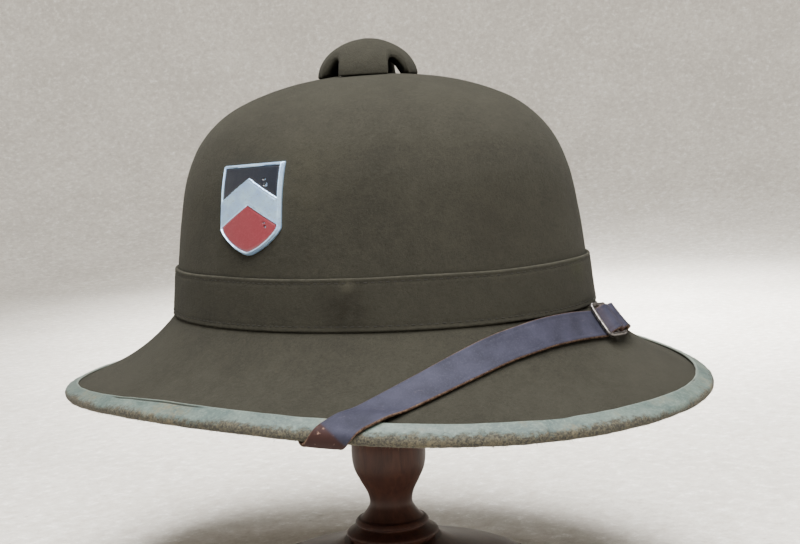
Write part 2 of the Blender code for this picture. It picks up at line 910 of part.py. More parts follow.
def strap_point(place, aside, raised):
    """A point of the strap: its place along the loop, its distance aside and its height."""
    angle = read_table(LINE_ANGLES, place)
    travel = read_table(LINE_TRAVELS, place)
    before = max(place - STRAP_AIM, 0)
    after = min(place + STRAP_AIM, LOOP_LENGTH)
    radius = turn_radius(angle, travel)
    swing = (read_table(LINE_ANGLES, after) - read_table(LINE_ANGLES, before)) * radius
    climb = read_table(LINE_TRAVELS, after) - read_table(LINE_TRAVELS, before)
    size = math.hypot(swing, climb)
    return strap_spot(
        angle - aside * climb / size / radius, travel + aside * swing / size, raised
    )


def places_between(start, end):
    """Places along the loop, closer together where the strap bends."""
    places = [start]
    margin = STRAP_MARGIN
    while places[-1] < end:
        travel = read_table(LINE_TRAVELS, places[-1])
        corner = WRAP_TRAVEL + brim_width(read_table(LINE_ANGLES, places[-1]))
        round_edge = -margin < travel < WRAP_TRAVEL + margin
        round_corner = abs(travel - corner) < margin / 2 + STRAP_STEP
        bending = round_edge or round_corner
        places.append(places[-1] + (STRAP_FINE_STEP if bending else STRAP_STEP))
    places[-1] = end
    if places[-1] - places[-2] < STRAP_FINE_STEP / 2:
        places.pop(-2)
    return places


BAR_OFFSET = BUCKLE_LENGTH / 2 - BUCKLE_BAR / 2
FOLD_RADIUS = math.hypot(BUCKLE_WALL, BUCKLE_BAR) / 2 + FIT_GAP + STRAP_WALL / 2
OVER_BAR = 2 * FOLD_RADIUS
LAYER = STRAP_WALL + FIT_GAP


def long_strap_stations():
    """Rows of place, height and share of the width, from the right stud to the tip."""
    inside_bar = BUCKLE_PLACE - BAR_OFFSET + BUCKLE_BAR / 2 + FIT_GAP
    before_middle = BUCKLE_PLACE - BUCKLE_BAR / 2 - 2 * FIT_GAP
    after_middle = BUCKLE_PLACE + BUCKLE_BAR / 2 + 2 * FIT_GAP
    tip = BUCKLE_PLACE + BAR_OFFSET - FOLD_RADIUS - STRAP_WALL / 2 - 2 * FIT_GAP
    rows = [(place, 0.0, 1.0) for place in places_between(0.0, inside_bar)]
    for step in range(1, BAR_STEPS + 1):
        share = step / BAR_STEPS
        rows.append((blend(inside_bar, before_middle, share), OVER_BAR * ease(share), 1.0))
    rows.append((after_middle, OVER_BAR, 1.0))
    fall = STRAP_WALL / 2
    for step in range(1, BAR_STEPS + 1):
        share = step / BAR_STEPS
        place = blend(after_middle, tip, share)
        nearness = max(0.0, 1 - (tip - place) / STRAP_TIP)
        narrow = 1 - TIP_NARROWING * nearness**TIP_POINT
        rows.append((place, OVER_BAR - fall * share, narrow))
    return rows


def short_strap_stations():
    """Rows from the folded end under the buckle's left bar, round the bar, to the left stud."""
    bar = BUCKLE_PLACE + BAR_OFFSET
    end = bar + STRAP_RETURN
    rows = [(blend(end, bar, step / RETURN_STEPS), 0.0, 1.0) for step in range(RETURN_STEPS)]
    for step in range(FOLD_STEPS + 1):
        turn = math.pi * step / FOLD_STEPS
        place = bar - FOLD_RADIUS * math.sin(turn)
        rows.append((place, FOLD_RADIUS * (1 - math.cos(turn)), 1.0))
    for step in range(1, SETTLE_STEPS + 1):
        share = step / SETTLE_STEPS
        place = bar + BUCKLE_BAR + STRAP_SETTLE * share
        rows.append((place, blend(OVER_BAR, LAYER, ease(share)), 1.0))
    rows.append((end + BUCKLE_BAR, LAYER, 1.0))
    landing = end + BUCKLE_BAR + STRAP_SETTLE
    rows.append((blend(end + BUCKLE_BAR, landing, 0.5), LAYER / 2, 1.0))
    for place in places_between(landing, LOOP_LENGTH):
        rows.append((place, 0.0, 1.0))
    return rows


def strap_sheet(name, stations):
    grid = []
    for place, raised, share in stations:
        half = STRAP_WIDTH / 2 * share
        asides = [half * (2 * column / STRAP_COLUMNS - 1) for column in range(STRAP_COLUMNS + 1)]
        grid.append([strap_point(place, aside, raised) for aside in asides])
    strap = surface(name, grid, STRAP_LEATHER)
    thicken(strap, STRAP_WALL, 0)
    return on_helmet(strap)


def make_stud(name, side, strap, body):
    """A pin with one flat head, through the strap's end and the crown's wall."""
    angle = side * math.radians(STUD_ANGLE)
    normal = crown_normal(angle, STUD_HEIGHT)
    face = crown_point(angle, STUD_HEIGHT)
    head_seat = FELT_WALL + STRAP_GAP + STRAP_WALL + FIT_GAP
    profile = [
        (0, 0),
        (STUD_RADIUS, 0),
        (STUD_RADIUS, -head_seat),
        (STUD_HEAD_RADIUS, -head_seat),
        (STUD_HEAD_RADIUS, -head_seat - STUD_HEAD_WALL),
        (0, -head_seat - STUD_HEAD_WALL),
    ]
    stud = on_helmet(turned(name, profile, SMALL_STEPS, STEEL))
    stud.matrix_local = axis_frame(face, normal)
    hole = add_cutter(
        f"{name}_hole", STUD_RADIUS + HOLE_GAP, 4 * head_seat, SEAT @ axis_frame(face, normal)
    )
    combine(strap, hole, "DIFFERENCE")
    combine(body, hole, "DIFFERENCE")
    return stud


def make_buckle():
    """A flat frame with a middle bar, bent a little to the brim's curve."""
    half_long = BUCKLE_LENGTH / 2
    half_wide = BUCKLE_WIDTH / 2
    bar = BUCKLE_BAR
    places = [-half_long, bar - half_long, -bar / 2, bar / 2, half_long - bar, half_long]
    asides = [-half_wide, bar - half_wide, half_wide - bar, half_wide]
    raised = FOLD_RADIUS
    points = []
    for place in places:
        for aside in asides:
            points.append(strap_point(BUCKLE_PLACE + place, aside, raised))
    faces = []
    count = len(asides)
    for row in range(len(places) - 1):
        for column in range(count - 1):
            window = row in (1, 3) and column == 1
            if not window:
                near = row * count + column
                faces.append((near, near + count, near + count + 1, near + 1))
    buckle = add_mesh("buckle_frame", points, faces, STEEL)
    thicken(buckle, BUCKLE_WALL, 0)
    round_edges(buckle, BUCKLE_BEVEL)
    return on_helmet(buckle)


# Hat stand

def head_top(radius):
    """The head's height over a radius: it follows the crown's inside, clear of the washer."""
    crown_inside = crown_height(min((radius + FELT_WALL) / (CROWN_WIDTH / 2), 1)) - FELT_WALL
    under_washer = washer_height() - POST_WASHER_WALL
    return SEAT_HEIGHT + min(crown_inside - FIT_GAP, under_washer - FIT_GAP)


def make_stand_head():
    """A turned mushroom that carries the crown's inside."""
    rim = head_top(HEAD_RADIUS)
    under = head_top(0) - HEAD_HEIGHT
    profile = [(0, head_top(0))]
    for ring in range(1, HEAD_RINGS + 1):
        radius = HEAD_RADIUS * blend(HEAD_MIDDLE, 1, ring / HEAD_RINGS)
        profile.append((radius, head_top(radius)))
    for out, down in HEAD_EDGE:
        profile.append((HEAD_RADIUS * out, blend(rim, under, down)))
    profile += [
        (SPIGOT_RADIUS + HOLE_GAP, under),
        (SPIGOT_RADIUS + HOLE_GAP, under + SPIGOT_LENGTH + FIT_GAP),
        (0, under + SPIGOT_LENGTH + FIT_GAP),
    ]
    return turned("stand_head", profile, TURNED_STEPS, WOOD)


def make_stand_column():
    """A turned column: rings and a bulb below, a plain shaft above, a spigot at each end."""
    foot = BASE_HEIGHT + FIT_GAP
    top = head_top(0) - HEAD_HEIGHT - FIT_GAP
    turning = [(BULB_RADIUS * out, foot + TURNING_HEIGHT * up) for up, out in COLUMN_PROFILE]
    profile = [
        (0, top + SPIGOT_LENGTH),
        (SPIGOT_RADIUS, top + SPIGOT_LENGTH),
        (SPIGOT_RADIUS, top),
        (SHAFT_RADIUS, top),
        (SHAFT_RADIUS, foot + TURNING_HEIGHT),
    ]
    profile += turning[::-1]
    profile += [
        (SPIGOT_RADIUS, foot),
        (SPIGOT_RADIUS, foot - SPIGOT_LENGTH),
        (0, foot - SPIGOT_LENGTH),
    ]
    return turned("stand_column", profile, TURNED_STEPS, WOOD)


def make_stand_base():
    floor_of_socket = BASE_HEIGHT - SPIGOT_LENGTH - FIT_GAP
    profile = [
        (0, floor_of_socket),
        (SPIGOT_RADIUS + HOLE_GAP, floor_of_socket),
        (SPIGOT_RADIUS + HOLE_GAP, BASE_HEIGHT),
    ]
    profile += [(BASE_RADIUS * out, BASE_HEIGHT * up) for out, up in BASE_PROFILE]
    profile.append((0, 0))
    return turned("stand_base", profile, BASE_STEPS, WOOD)


body = make_felt_body()
make_hat_band()
make_brim_binding()
make_vent_cap()
make_vent_post()
add_prongs(make_shield(), body)
long_strap = strap_sheet("strap_long", long_strap_stations())
short_strap = strap_sheet("strap_short", short_strap_stations())
make_stud("strap_stud_right", -1, long_strap, body)
make_stud("strap_stud_left", 1, short_strap, body)
make_buckle()
make_stand_head()
make_stand_column()
make_stand_base()
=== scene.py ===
"""Looks of the felt pith helmet on its turned hat stand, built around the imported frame.

Metres, +Z up. The helmet's front faces -Y, and its wearer's right is -X.
Angles run from the front towards the wearer's left.
"""

import math

import bpy
import numpy as np
from mathutils import Matrix, Vector, noise


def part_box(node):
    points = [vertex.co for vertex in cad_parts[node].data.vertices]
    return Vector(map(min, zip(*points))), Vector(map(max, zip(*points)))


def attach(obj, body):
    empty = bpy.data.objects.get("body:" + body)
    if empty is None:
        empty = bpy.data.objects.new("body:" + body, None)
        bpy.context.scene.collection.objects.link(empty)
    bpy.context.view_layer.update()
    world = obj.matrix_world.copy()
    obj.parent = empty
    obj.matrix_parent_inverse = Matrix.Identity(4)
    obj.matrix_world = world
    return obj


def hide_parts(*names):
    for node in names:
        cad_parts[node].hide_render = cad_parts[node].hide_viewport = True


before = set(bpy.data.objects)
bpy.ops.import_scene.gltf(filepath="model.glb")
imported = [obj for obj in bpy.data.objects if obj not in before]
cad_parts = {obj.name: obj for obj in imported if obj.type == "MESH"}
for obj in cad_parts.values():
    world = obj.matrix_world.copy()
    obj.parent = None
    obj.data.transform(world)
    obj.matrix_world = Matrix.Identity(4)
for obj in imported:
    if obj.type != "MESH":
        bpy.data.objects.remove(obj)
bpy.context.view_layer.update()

MM = 0.001

# Shapes shared with the solids
FIT_GAP = 0.3 * MM
STRAP_GAP = 0.6 * MM
SEAT_HEIGHT = 140 * MM
CROWN_LENGTH = 208 * MM
CROWN_WIDTH = 177 * MM
CROWN_HEIGHT = 107 * MM
FELT_WALL = 2.4 * MM
VENT_HOLE_RADIUS = 4.0 * MM
FRONT_BRIM = 49.3 * MM
BACK_BRIM = 59.6 * MM
SIDE_BRIM = 43.3 * MM
FRONT_DROP = 37.9 * MM
BACK_DROP = 37.2 * MM
SIDE_DROP = 30.5 * MM
CORNER_DROP = 1.6 * MM
EDGE_ROUNDNESS = 2.08
BRIM_FALL = 0.572
BRIM_FLARE = 0.274
BAND_HEIGHT = 21 * MM
BAND_WALL = 1.2 * MM
BINDING_WALL = 1.0 * MM
BINDING_WIDTH = 6.8 * MM
CAP_RADIUS = 23.2 * MM
CAP_RISE = 16.6 * MM
CAP_FOOT = 0.8 * MM
CAP_WALL = 2.4 * MM
ARCH_WIDTH = 11.8 * MM
ARCH_RISE = 6.6 * MM
ARCH_COUNT = 4
CAP_TURN = math.radians(-10)
SHIELD_HEIGHT = 38.2 * MM
SHIELD_WIDTH = 34.6 * MM
SHIELD_MIDDLE = 49.8 * MM
SHIELD_AHEAD = 1.9 * MM
SHIELD_TILT = math.radians(2)
SHIELD_STRAIGHT = 0.705
SHIELD_POINT = 1.4
SHIELD_RIM = 1.4 * MM
CHEVRON_WIDTH = 11 * MM
CHEVRON_RISE = 9.5 * MM
CHEVRON_PEAK = 0.16
STRAP_WIDTH = 14 * MM
STRAP_WALL = 1.6 * MM
STRAP_RETURN = 14 * MM
STRAP_TIP = 6 * MM
TIP_NARROWING = 0.8
TIP_POINT = 1.5
STUD_ANGLE = 96.5
STUD_HEIGHT = 12 * MM
STRAP_END_ANGLE = 101.5
STRAP_END_HEIGHT = 20 * MM
STRAP_STEP_DOWN = 8 * MM
STRAP_CORNER = 5 * MM
STRAP_SETTLE = 6 * MM
LEAN_SPAN = 20 * MM
LEAN_RISE = 1.2 * MM
LEAN_SOFTNESS = 0.08
BUCKLE_ANGLE = 12.5
BUCKLE_LENGTH = 18 * MM
BUCKLE_WIDTH = 18.4 * MM
BUCKLE_BAR = 1.7 * MM
BUCKLE_WALL = 1.5 * MM
BASE_RADIUS = 72 * MM
BASE_HEIGHT = 26 * MM
TURNING_HEIGHT = 74 * MM
BULB_RADIUS = 17.8 * MM
SHAFT_RADIUS = 11 * MM

# Columns: share of the crown's height, share of its half length or half width
CROWN_PROFILE = (
    (0.00, 1.000),
    (0.20, 0.977),
    (0.40, 0.948),
    (0.58, 0.909),
    (0.73, 0.832),
    (0.85, 0.701),
    (0.93, 0.512),
    (0.98, 0.293),
    (1.00, 0.000),
)

# The strap's middle line on the brim's top, from each side's edge to the front.
# Columns: degrees from the front, share of the brim's width
STRAP_OVER_RIGHT = (
    (60.5, 1.00),
    (57.0, 0.82),
    (52.3, 0.635),
    (46.3, 0.465),
    (40, 0.33),
    (33, 0.235),
    (25, 0.165),
    (15, 0.12),
    (5, 0.113),
)
STRAP_OVER_LEFT = (
    (72.0, 1.00),
    (67.5, 0.77),
    (62, 0.55),
    (55, 0.39),
    (46, 0.27),
    (36, 0.21),
    (25, 0.18),
    (15, 0.155),
    (5, 0.125),
)

# The strap's middle line under the brim, from the edge to the crown's wall.
# Columns: degrees from the front, share of the brim's width
STRAP_UNDER_RIGHT = (
    (63.8, 1.00),
    (67.8, 0.75),
    (73.5, 0.50),
    (80.5, 0.25),
    (88.5, 0.00),
)
STRAP_UNDER_LEFT = (
    (76.0, 1.00),
    (79.5, 0.75),
    (83.5, 0.50),
    (87.5, 0.25),
    (91.5, 0.00),
)

# Columns: share of the base's radius, share of the base's height
BASE_PROFILE = (
    (0.32, 1.00),
    (0.44, 0.84),
    (0.62, 0.68),
    (0.80, 0.55),
    (0.93, 0.43),
    (1.00, 0.30),
    (1.00, 0.10),
    (0.98, 0.00),
)

# Columns: share of the turning's height, share of the bulb's radius
COLUMN_PROFILE = (
    (0.000, 1.18),
    (0.040, 1.24),
    (0.080, 0.92),
    (0.100, 1.00),
    (0.125, 0.93),
    (0.135, 0.83),
    (0.180, 0.67),
    (0.230, 0.575),
    (0.300, 0.63),
    (0.380, 0.80),
    (0.460, 0.95),
    (0.550, 1.00),
    (0.640, 0.97),
    (0.760, 0.80),
    (0.880, 0.60),
    (0.950, 0.56),
)

BINDING_RADIUS = FELT_WALL / 2 + FIT_GAP + BINDING_WALL
WRAP_RADIUS = BINDING_RADIUS + STRAP_GAP + STRAP_WALL / 2
WRAP_TRAVEL = math.pi * WRAP_RADIUS
AROUND = 288


# Number helpers

def blend(start, end, share):
    return start + (end - start) * share


def ease(share):
    share = np.clip(share, 0.0, 1.0)
    return share * share * (3 - 2 * share)


def bump(value, middle, spread):
    """A smooth hill of height 1."""
    return np.exp(-(((value - middle) / spread) ** 2))


def vectors(x, y, z):
    return np.stack(np.broadcast_arrays(x, y, z), axis=-1)


def unit(rows):
    return rows / np.linalg.norm(rows, axis=-1, keepdims=True)


def smooth_curve(rows, steps, ghost=None):
    """A smooth curve through rows of numbers, with steps points for each span."""
    points = np.array(rows, float)
    before = 2 * points[0] - points[1]
    after = 2 * points[-1] - points[-2] if ghost is None else np.array(ghost)
    points = np.vstack([before, points, after])
    t = (np.arange(steps) / steps)[:, None]
    spans = []
    for a, b, c, d in zip(points, points[1:], points[2:], points[3:]):
        spans.append(
            0.5 * (2 * b + (c - a) * t + (2 * a - 5 * b + 4 * c - d) * t**2)
            + 0.5 * (3 * b - a - 3 * c + d) * t**3
        )
    spans.append(points[-2:-1])
    return np.vstack(spans)


def travel_along(points):
    """Distance travelled at each point of a line."""
    return np.concatenate([[0], np.cumsum(np.linalg.norm(np.diff(points, axis=0), axis=1))])


def even_steps(points, spacing):
    """The points of a line, taken again at even distances."""
    travel = travel_along(points)
    count = max(int(round(travel[-1] / spacing)), 2)
    places = np.linspace(0, travel[-1], count + 1)
    return np.stack([np.interp(places, travel, column) for column in points.T], axis=1)


def lumps(points, size, seed):
    """Smooth noise between about -1 and 1 at each point, with hills of a given size."""
    shift = Vector((17.3, 5.1, 9.7)) * seed
    flat = points.reshape(-1, 3) / size
    values = [noise.noise(Vector(row) + shift) for row in flat]
    return np.array(values).reshape(points.shape[:-1])


def waves(points, rows):
    """Relief made of rows of rise, size of the hills and seed."""
    return sum(rise * lumps(points, size, seed) for rise, size, seed in rows)


def ring_lumps(angle, hills, seed):
    """Smooth noise round a ring."""
    spot = vectors(np.cos(angle), np.sin(angle), 0 * angle)
    return lumps(spot, 2 * math.pi / hills, seed)


# Surfaces of the helmet, in its own frame, whose origin is the middle of the band's foot

APEX_GHOST = (CROWN_PROFILE[-2][0], -CROWN_PROFILE[-2][1])
PROFILE = smooth_curve(CROWN_PROFILE, 24, APEX_GHOST)
TURN_STEP = math.radians(0.5)
HEIGHT_STEP = 0.01 * CROWN_HEIGHT
SLOPE_FOOT = 0.02 * CROWN_HEIGHT
REACH_STEP = 0.02
EDGE_AIM = 0.9
RULING_STEPS = 32


def crown_share(height):
    return np.interp(height / CROWN_HEIGHT, PROFILE[:, 0], PROFILE[:, 1])


def oval(angle, share, height):
    across = CROWN_WIDTH / 2 * share * np.sin(angle)
    along = -CROWN_LENGTH / 2 * share * np.cos(angle)
    return vectors(across, along, height)


def crown_point(angle, height):
    return oval(angle, crown_share(height), height)


def crown_height(share):
    """The height at which the crown has shrunk to a share of its foot."""
    return CROWN_HEIGHT * np.interp(-np.asarray(share, float), -PROFILE[:, 1], PROFILE[:, 0])


def edge_centre(angle):
    """The middle of the bound edge."""
    ahead = np.cos(angle)
    aside = np.sin(angle)
    brim = np.where(ahead > 0, FRONT_BRIM, BACK_BRIM)
    drop = np.where(ahead > 0, FRONT_DROP, BACK_DROP)
    n = EDGE_ROUNDNESS
    fullness = (np.abs(ahead) ** n + np.abs(aside) ** n) ** (-1 / n)
    across = (CROWN_WIDTH / 2 + SIDE_BRIM) * aside * fullness
    along = -(CROWN_LENGTH / 2 + brim) * ahead * fullness
    fall = blend(SIDE_DROP, drop, ahead**2) + CORNER_DROP * (2 * ahead * aside) ** 2
    return vectors(across, along, -fall)


def brim_point(angle, reach):
    """The brim's top, from the crown at reach 0 to the bound edge at reach 1."""
    angle, reach = np.broadcast_arrays(angle, reach)
    edge = edge_centre(angle)
    point = blend(crown_point(angle, 0 * angle), edge, reach[..., None])
    bow = reach * (1 - reach)
    fall = reach + BRIM_FALL * bow + BRIM_FLARE * bow * (1 - 2 * reach)
    point[..., 2] = edge[..., 2] * fall + reach * FELT_WALL / 2
    return point


def surface_normal(surface, angle, place, step):
    along = surface(angle + TURN_STEP, place) - surface(angle - TURN_STEP, place)
    across = surface(angle, place + step) - surface(angle, place - step)
    return unit(np.cross(along, across))


def crown_normal(angle, height):
    return surface_normal(crown_point, angle, np.maximum(height, SLOPE_FOOT), HEIGHT_STEP)


def brim_normal(angle, reach):
    return surface_normal(brim_point, angle, reach, -REACH_STEP)


def edge_outward(angle):
    return unit(brim_point(angle, 1.0) - brim_point(angle, EDGE_AIM))


def edge_direction(angle, turn):
    """A direction away from the bound edge, turned from its top round to its underside."""
    up = brim_normal(angle, 1.0) * np.cos(turn)[..., None]
    return up + edge_outward(angle) * np.sin(turn)[..., None]


RULING_ANGLES = np.linspace(-math.pi, math.pi, 721)
RULING_REACHES = np.linspace(1, 0, RULING_STEPS + 1)
RULING_POINTS = brim_point(RULING_ANGLES[:, None], RULING_REACHES[None, :])
RULING_GAPS = np.linalg.norm(np.diff(RULING_POINTS, axis=1), axis=2)
RULINGS = np.concatenate([0 * RULING_GAPS[:, :1], np.cumsum(RULING_GAPS, axis=1)], axis=1)


def ruling(angle):
    """Distances in from the bound edge, at the even reaches of one line of the brim."""
    turned_back = (np.asarray(angle) + math.pi) % (2 * math.pi)
    place = turned_back / (RULING_ANGLES[1] - RULING_ANGLES[0])
    low = np.clip(place.astype(int), 0, len(RULING_ANGLES) - 2)
    return blend(RULINGS[low], RULINGS[low + 1], (place - low)[..., None])


def reach_from_edge(angle, distance):
    angle, distance = np.broadcast_arrays(angle, distance)
    rows = ruling(angle)
    index = np.clip((rows <= distance[..., None]).sum(axis=-1) - 1, 0, RULING_STEPS - 1)
    low = np.take_along_axis(rows, index[..., None], axis=-1)[..., 0]
    high = np.take_along_axis(rows, index[..., None] + 1, axis=-1)[..., 0]
    return 1 - (index + (distance - low) / (high - low)) / RULING_STEPS


def edge_distance(angle, reach):
    return np.interp(1 - reach, 1 - RULING_REACHES, ruling(angle))


def brim_width(angle):
    return ruling(angle)[..., -1]


def on_seat(points):
    return points + np.array([0, 0, SEAT_HEIGHT])


def polar(angle, radius, height):
    return vectors(radius * np.sin(angle), -radius * np.cos(angle), height)


def full_turn(count=AROUND):
    return 2 * math.pi * np.arange(count) / count


# Meshes

def shell(grid, wrap_rows=False, wrap_columns=False, pole_start=False, pole_end=False):
    """Points and faces of a sheet over a grid of points, with its open ends closed to a pole."""
    rows, columns = grid.shape[:2]
    row_spans = rows if wrap_rows else rows - 1
    column_spans = columns if wrap_columns else columns - 1
    row = np.arange(row_spans)[:, None]
    column = np.arange(column_spans)[None, :]
    below = (row + 1) % rows
    beside = (column + 1) % columns
    corners = np.broadcast_arrays(
        row * columns + column,
        below * columns + column,
        below * columns + beside,
        row * columns + beside,
    )
    faces = np.stack(corners, axis=-1).reshape(-1, 4).tolist()
    points = grid.reshape(-1, 3)
    for wanted, first, flip in ((pole_start, 0, False), (pole_end, (rows - 1) * columns, True)):
        if not wanted:
            continue
        pole = len(points)
        points = np.vstack([points, points[first:first + columns].mean(axis=0)])
        for index in range(columns):
            a = first + index
            b = first + (index + 1) % columns
            faces.append([pole, b, a] if flip else [pole, a, b])
    return points, faces


def ring_shell(grid):
    """A sheet whose rows and columns both close on themselves."""
    return shell(grid, wrap_rows=True, wrap_columns=True)


def rod_shell(grid):
    """A sheet round a rod, closed at both ends."""
    return shell(grid, wrap_columns=True, pole_start=True, pole_end=True)


def slab(front, back):
    """Points and faces of a thick sheet between two grids, closed round its border."""
    rows, columns = front.shape[:2]
    points, faces = shell(front)
    back_points, back_faces = shell(back)
    count = len(points)
    faces = faces + [[count + index for index in face[::-1]] for face in back_faces]
    border = [(0, column) for column in range(columns)]
    border += [(row, columns - 1) for row in range(1, rows)]
    border += [(rows - 1, column) for column in range(columns - 2, -1, -1)]
    border += [(row, 0) for row in range(rows - 2, 0, -1)]
    ring = [row * columns + column for row, column in border]
    for here, following in zip(ring, ring[1:] + ring[:1]):
        faces.append([here, following, count + following, count + here])
    return np.vstack([points, back_points]), faces


def tube(path, radius, side, sides=5):
    """Points and faces of a closed thread along a path, its section set out from a side vector."""
    ahead = unit(np.gradient(path, axis=0))
    across = unit(np.cross(ahead, side))
    up = np.cross(across, ahead)
    turn = full_turn(sides)[None, :, None]
    ring = np.cos(turn) * across[:, None] + np.sin(turn) * up[:, None]
    return rod_shell(path[:, None] + ring * radius[:, None, None])


def join_shells(shells):
    points = []
    faces = []
    count = 0
    for shell_points, shell_faces in shells:
        points.append(shell_points)
        faces += [[count + index for index in face] for face in shell_faces]
        count += len(shell_points)
    return np.vstack(points), faces


def make_object(name, shape, material):
    points, faces = shape
    mesh = bpy.data.meshes.new(name)
    mesh.from_pydata(points.tolist(), [], faces)
    mesh.update()
    mesh.shade_smooth()
    mesh.materials.append(material)
    thing = bpy.data.objects.new(name, mesh)
    bpy.context.scene.collection.objects.link(thing)
    return thing


def make_piece(name, shape, material, node=None, fields=None, sharp=None, lift=SEAT_HEIGHT):
    """A mesh piece that rides with the body and stands for its node."""
    points, faces = shape
    piece = make_object(name, (points + np.array([0, 0, lift]), faces), material)
    if sharp:
        piece.data.set_sharp_from_angle(angle=math.radians(sharp))
    for key, values in (fields or {}).items():
        padded = np.zeros(len(points))
        padded[:values.size] = values.ravel()
        attribute = piece.data.attributes.new(key, "FLOAT", "POINT")
        attribute.data.foreach_set("value", padded)
    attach(piece, "root")
    if node:
        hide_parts(node)


# Materials

class Look:
    """A procedural material on its own node tree, with sizes and depths in millimetres."""

    def __init__(self, name, roughness, settings=None):
        self.material = bpy.data.materials.new(name)
        self.material.use_nodes = True
        self.tree = self.material.node_tree
        self.shader = self.tree.nodes["Principled BSDF"]
        self.fill(self.shader, {"Roughness": roughness} | (settings or {}))
        self.place = self.node("TexCoord").outputs["Object"]

    def fill(self, node, inputs):
        for name, value in inputs.items():
            target = node.inputs[name]
            if isinstance(value, bpy.types.NodeSocket):
                self.tree.links.new(value, target)
            elif target.type == "RGBA":
                target.default_value = (*value, 1)
            else:
                target.default_value = value

    def node(self, kind, inputs=None):
        node = self.tree.nodes.new("ShaderNode" + kind)
        self.fill(node, inputs or {})
        return node

    def field(self, name):
        node = self.node("Attribute")
        node.attribute_name = name
        return node.outputs["Fac"]

    def stretched(self, aside, up):
        inputs = {"Vector": self.place, "Scale": (aside, aside, up)}
        return self.node("Mapping", inputs).outputs["Vector"]

    def noise(self, size, detail=3.0, roughness=0.6, place=None, distortion=0.0):
        inputs = {"Vector": place or self.place, "Scale": 1 / (size * MM), "Detail": detail}
        inputs |= {"Roughness": roughness, "Distortion": distortion}
        return self.node("TexNoise", inputs).outputs["Fac"]

    def ramp(self, value, low, high, start=0.0, end=1.0):
        inputs = {"Value": value, "From Min": low, "From Max": high, "To Min": start, "To Max": end}
        return self.node("MapRange", inputs).outputs["Result"]

    def math(self, operation, a, b):
        node = self.node("Math", {0: a, 1: b})
        node.operation = operation
        return node.outputs["Value"]

    def times(self, a, b):
        return self.math("MULTIPLY", a, b)

    def mix(self, share, a, b):
        """Colour a where the share is 0, and b where it is 1."""
        node = self.node("Mix")
        node.data_type = "RGBA"
        self.fill(node, {"Factor": share, "A": a, "B": b})
        return node.outputs["Result"]

    def tint(self, tone, value, low, high, color, weight=1.0):
        """The tone, turned to a colour as the value goes from low to high."""
        return self.mix(self.ramp(value, low, high, 0.0, weight), tone, color)

    def near(self, spot, radius, soft=0.9):
        """1 at a spot of the object, falling to 0 at a radius from it."""
        node = self.node("VectorMath", {0: self.place, 1: tuple(spot)})
        node.operation = "DISTANCE"
        return self.ramp(node.outputs["Value"], radius * (1 - soft), radius, 1.0, 0.0)

    def finish(self, tone, *reliefs):
        """The material with its colour, and with reliefs of a height, a depth and a strength."""
        self.fill(self.shader, {"Base Color": tone})
        normal = None
        for height, depth, strength in reliefs:
            bump = self.node("Bump", {"Height": height, "Distance": depth * MM, "Strength": strength})
            if normal:
                self.fill(bump, {"Normal": normal})
            normal = bump.outputs["Normal"]
        self.fill(self.shader, {"Normal": normal})
        return self.material

    def roughen(self, value, low, high, start, end):
        self.fill(self.shader, {"Roughness": self.ramp(value, low, high, start, end)})


def shaded(color, share):
    return tuple(share * part for part in color)


def felt_look(name, base, stains_and_shade=()):
    """Matted wool: broad tone patches, a mottled nap and fine fibres."""
    sheen = {"Sheen Weight": 0.02, "Sheen Roughness": 0.55, "Sheen Tint": (0.84, 0.84, 0.74)}
    look = Look(name, 0.96, sheen | {"Specular IOR Level": 0.1})
    pale = shaded(base, 1.32)
    nap = look.noise(1.3, 5, 0.8)
    tone = look.tint(shaded(base, 0.78), look.noise(40), 0.35, 0.65, base)
    tone = look.tint(tone, look.noise(6, 4, 0.7), 0.42, 0.72, pale, 0.45)
    tone = look.tint(tone, nap, 0.50, 0.72, pale, 0.8)
    tone = look.tint(tone, nap, 0.46, 0.26, shaded(base, 0.55), 0.8)
    worn = look.times(look.field("worn"), look.ramp(look.noise(2.2), 0.30, 0.62))
    tone = look.mix(worn, tone, shaded(base, 2.1))
    # Stains, and the spot of painted shade on the band, each made ragged with noise.
    for spot, radius, color, weight in stains_and_shade:
        ragged = look.times(look.near(spot, radius), look.ramp(look.noise(5, 4), 0.32, 0.52))
        tone = look.mix(look.times(ragged, weight), tone, color)
    return look.finish(tone, (look.noise(3.5), 0.35, 0.5), (nap, 0.35, 0.9))


def stains_and_shade_at(rows):
    stains_and_shade = []
    for degrees, height, radius, tint, weight in rows:
        spot = on_seat(crown_point(np.radians([degrees]), np.array([height])))[0]
        stains_and_shade.append((spot, radius, tuple(np.multiply(tint, OLIVE)), weight))
    return stains_and_shade


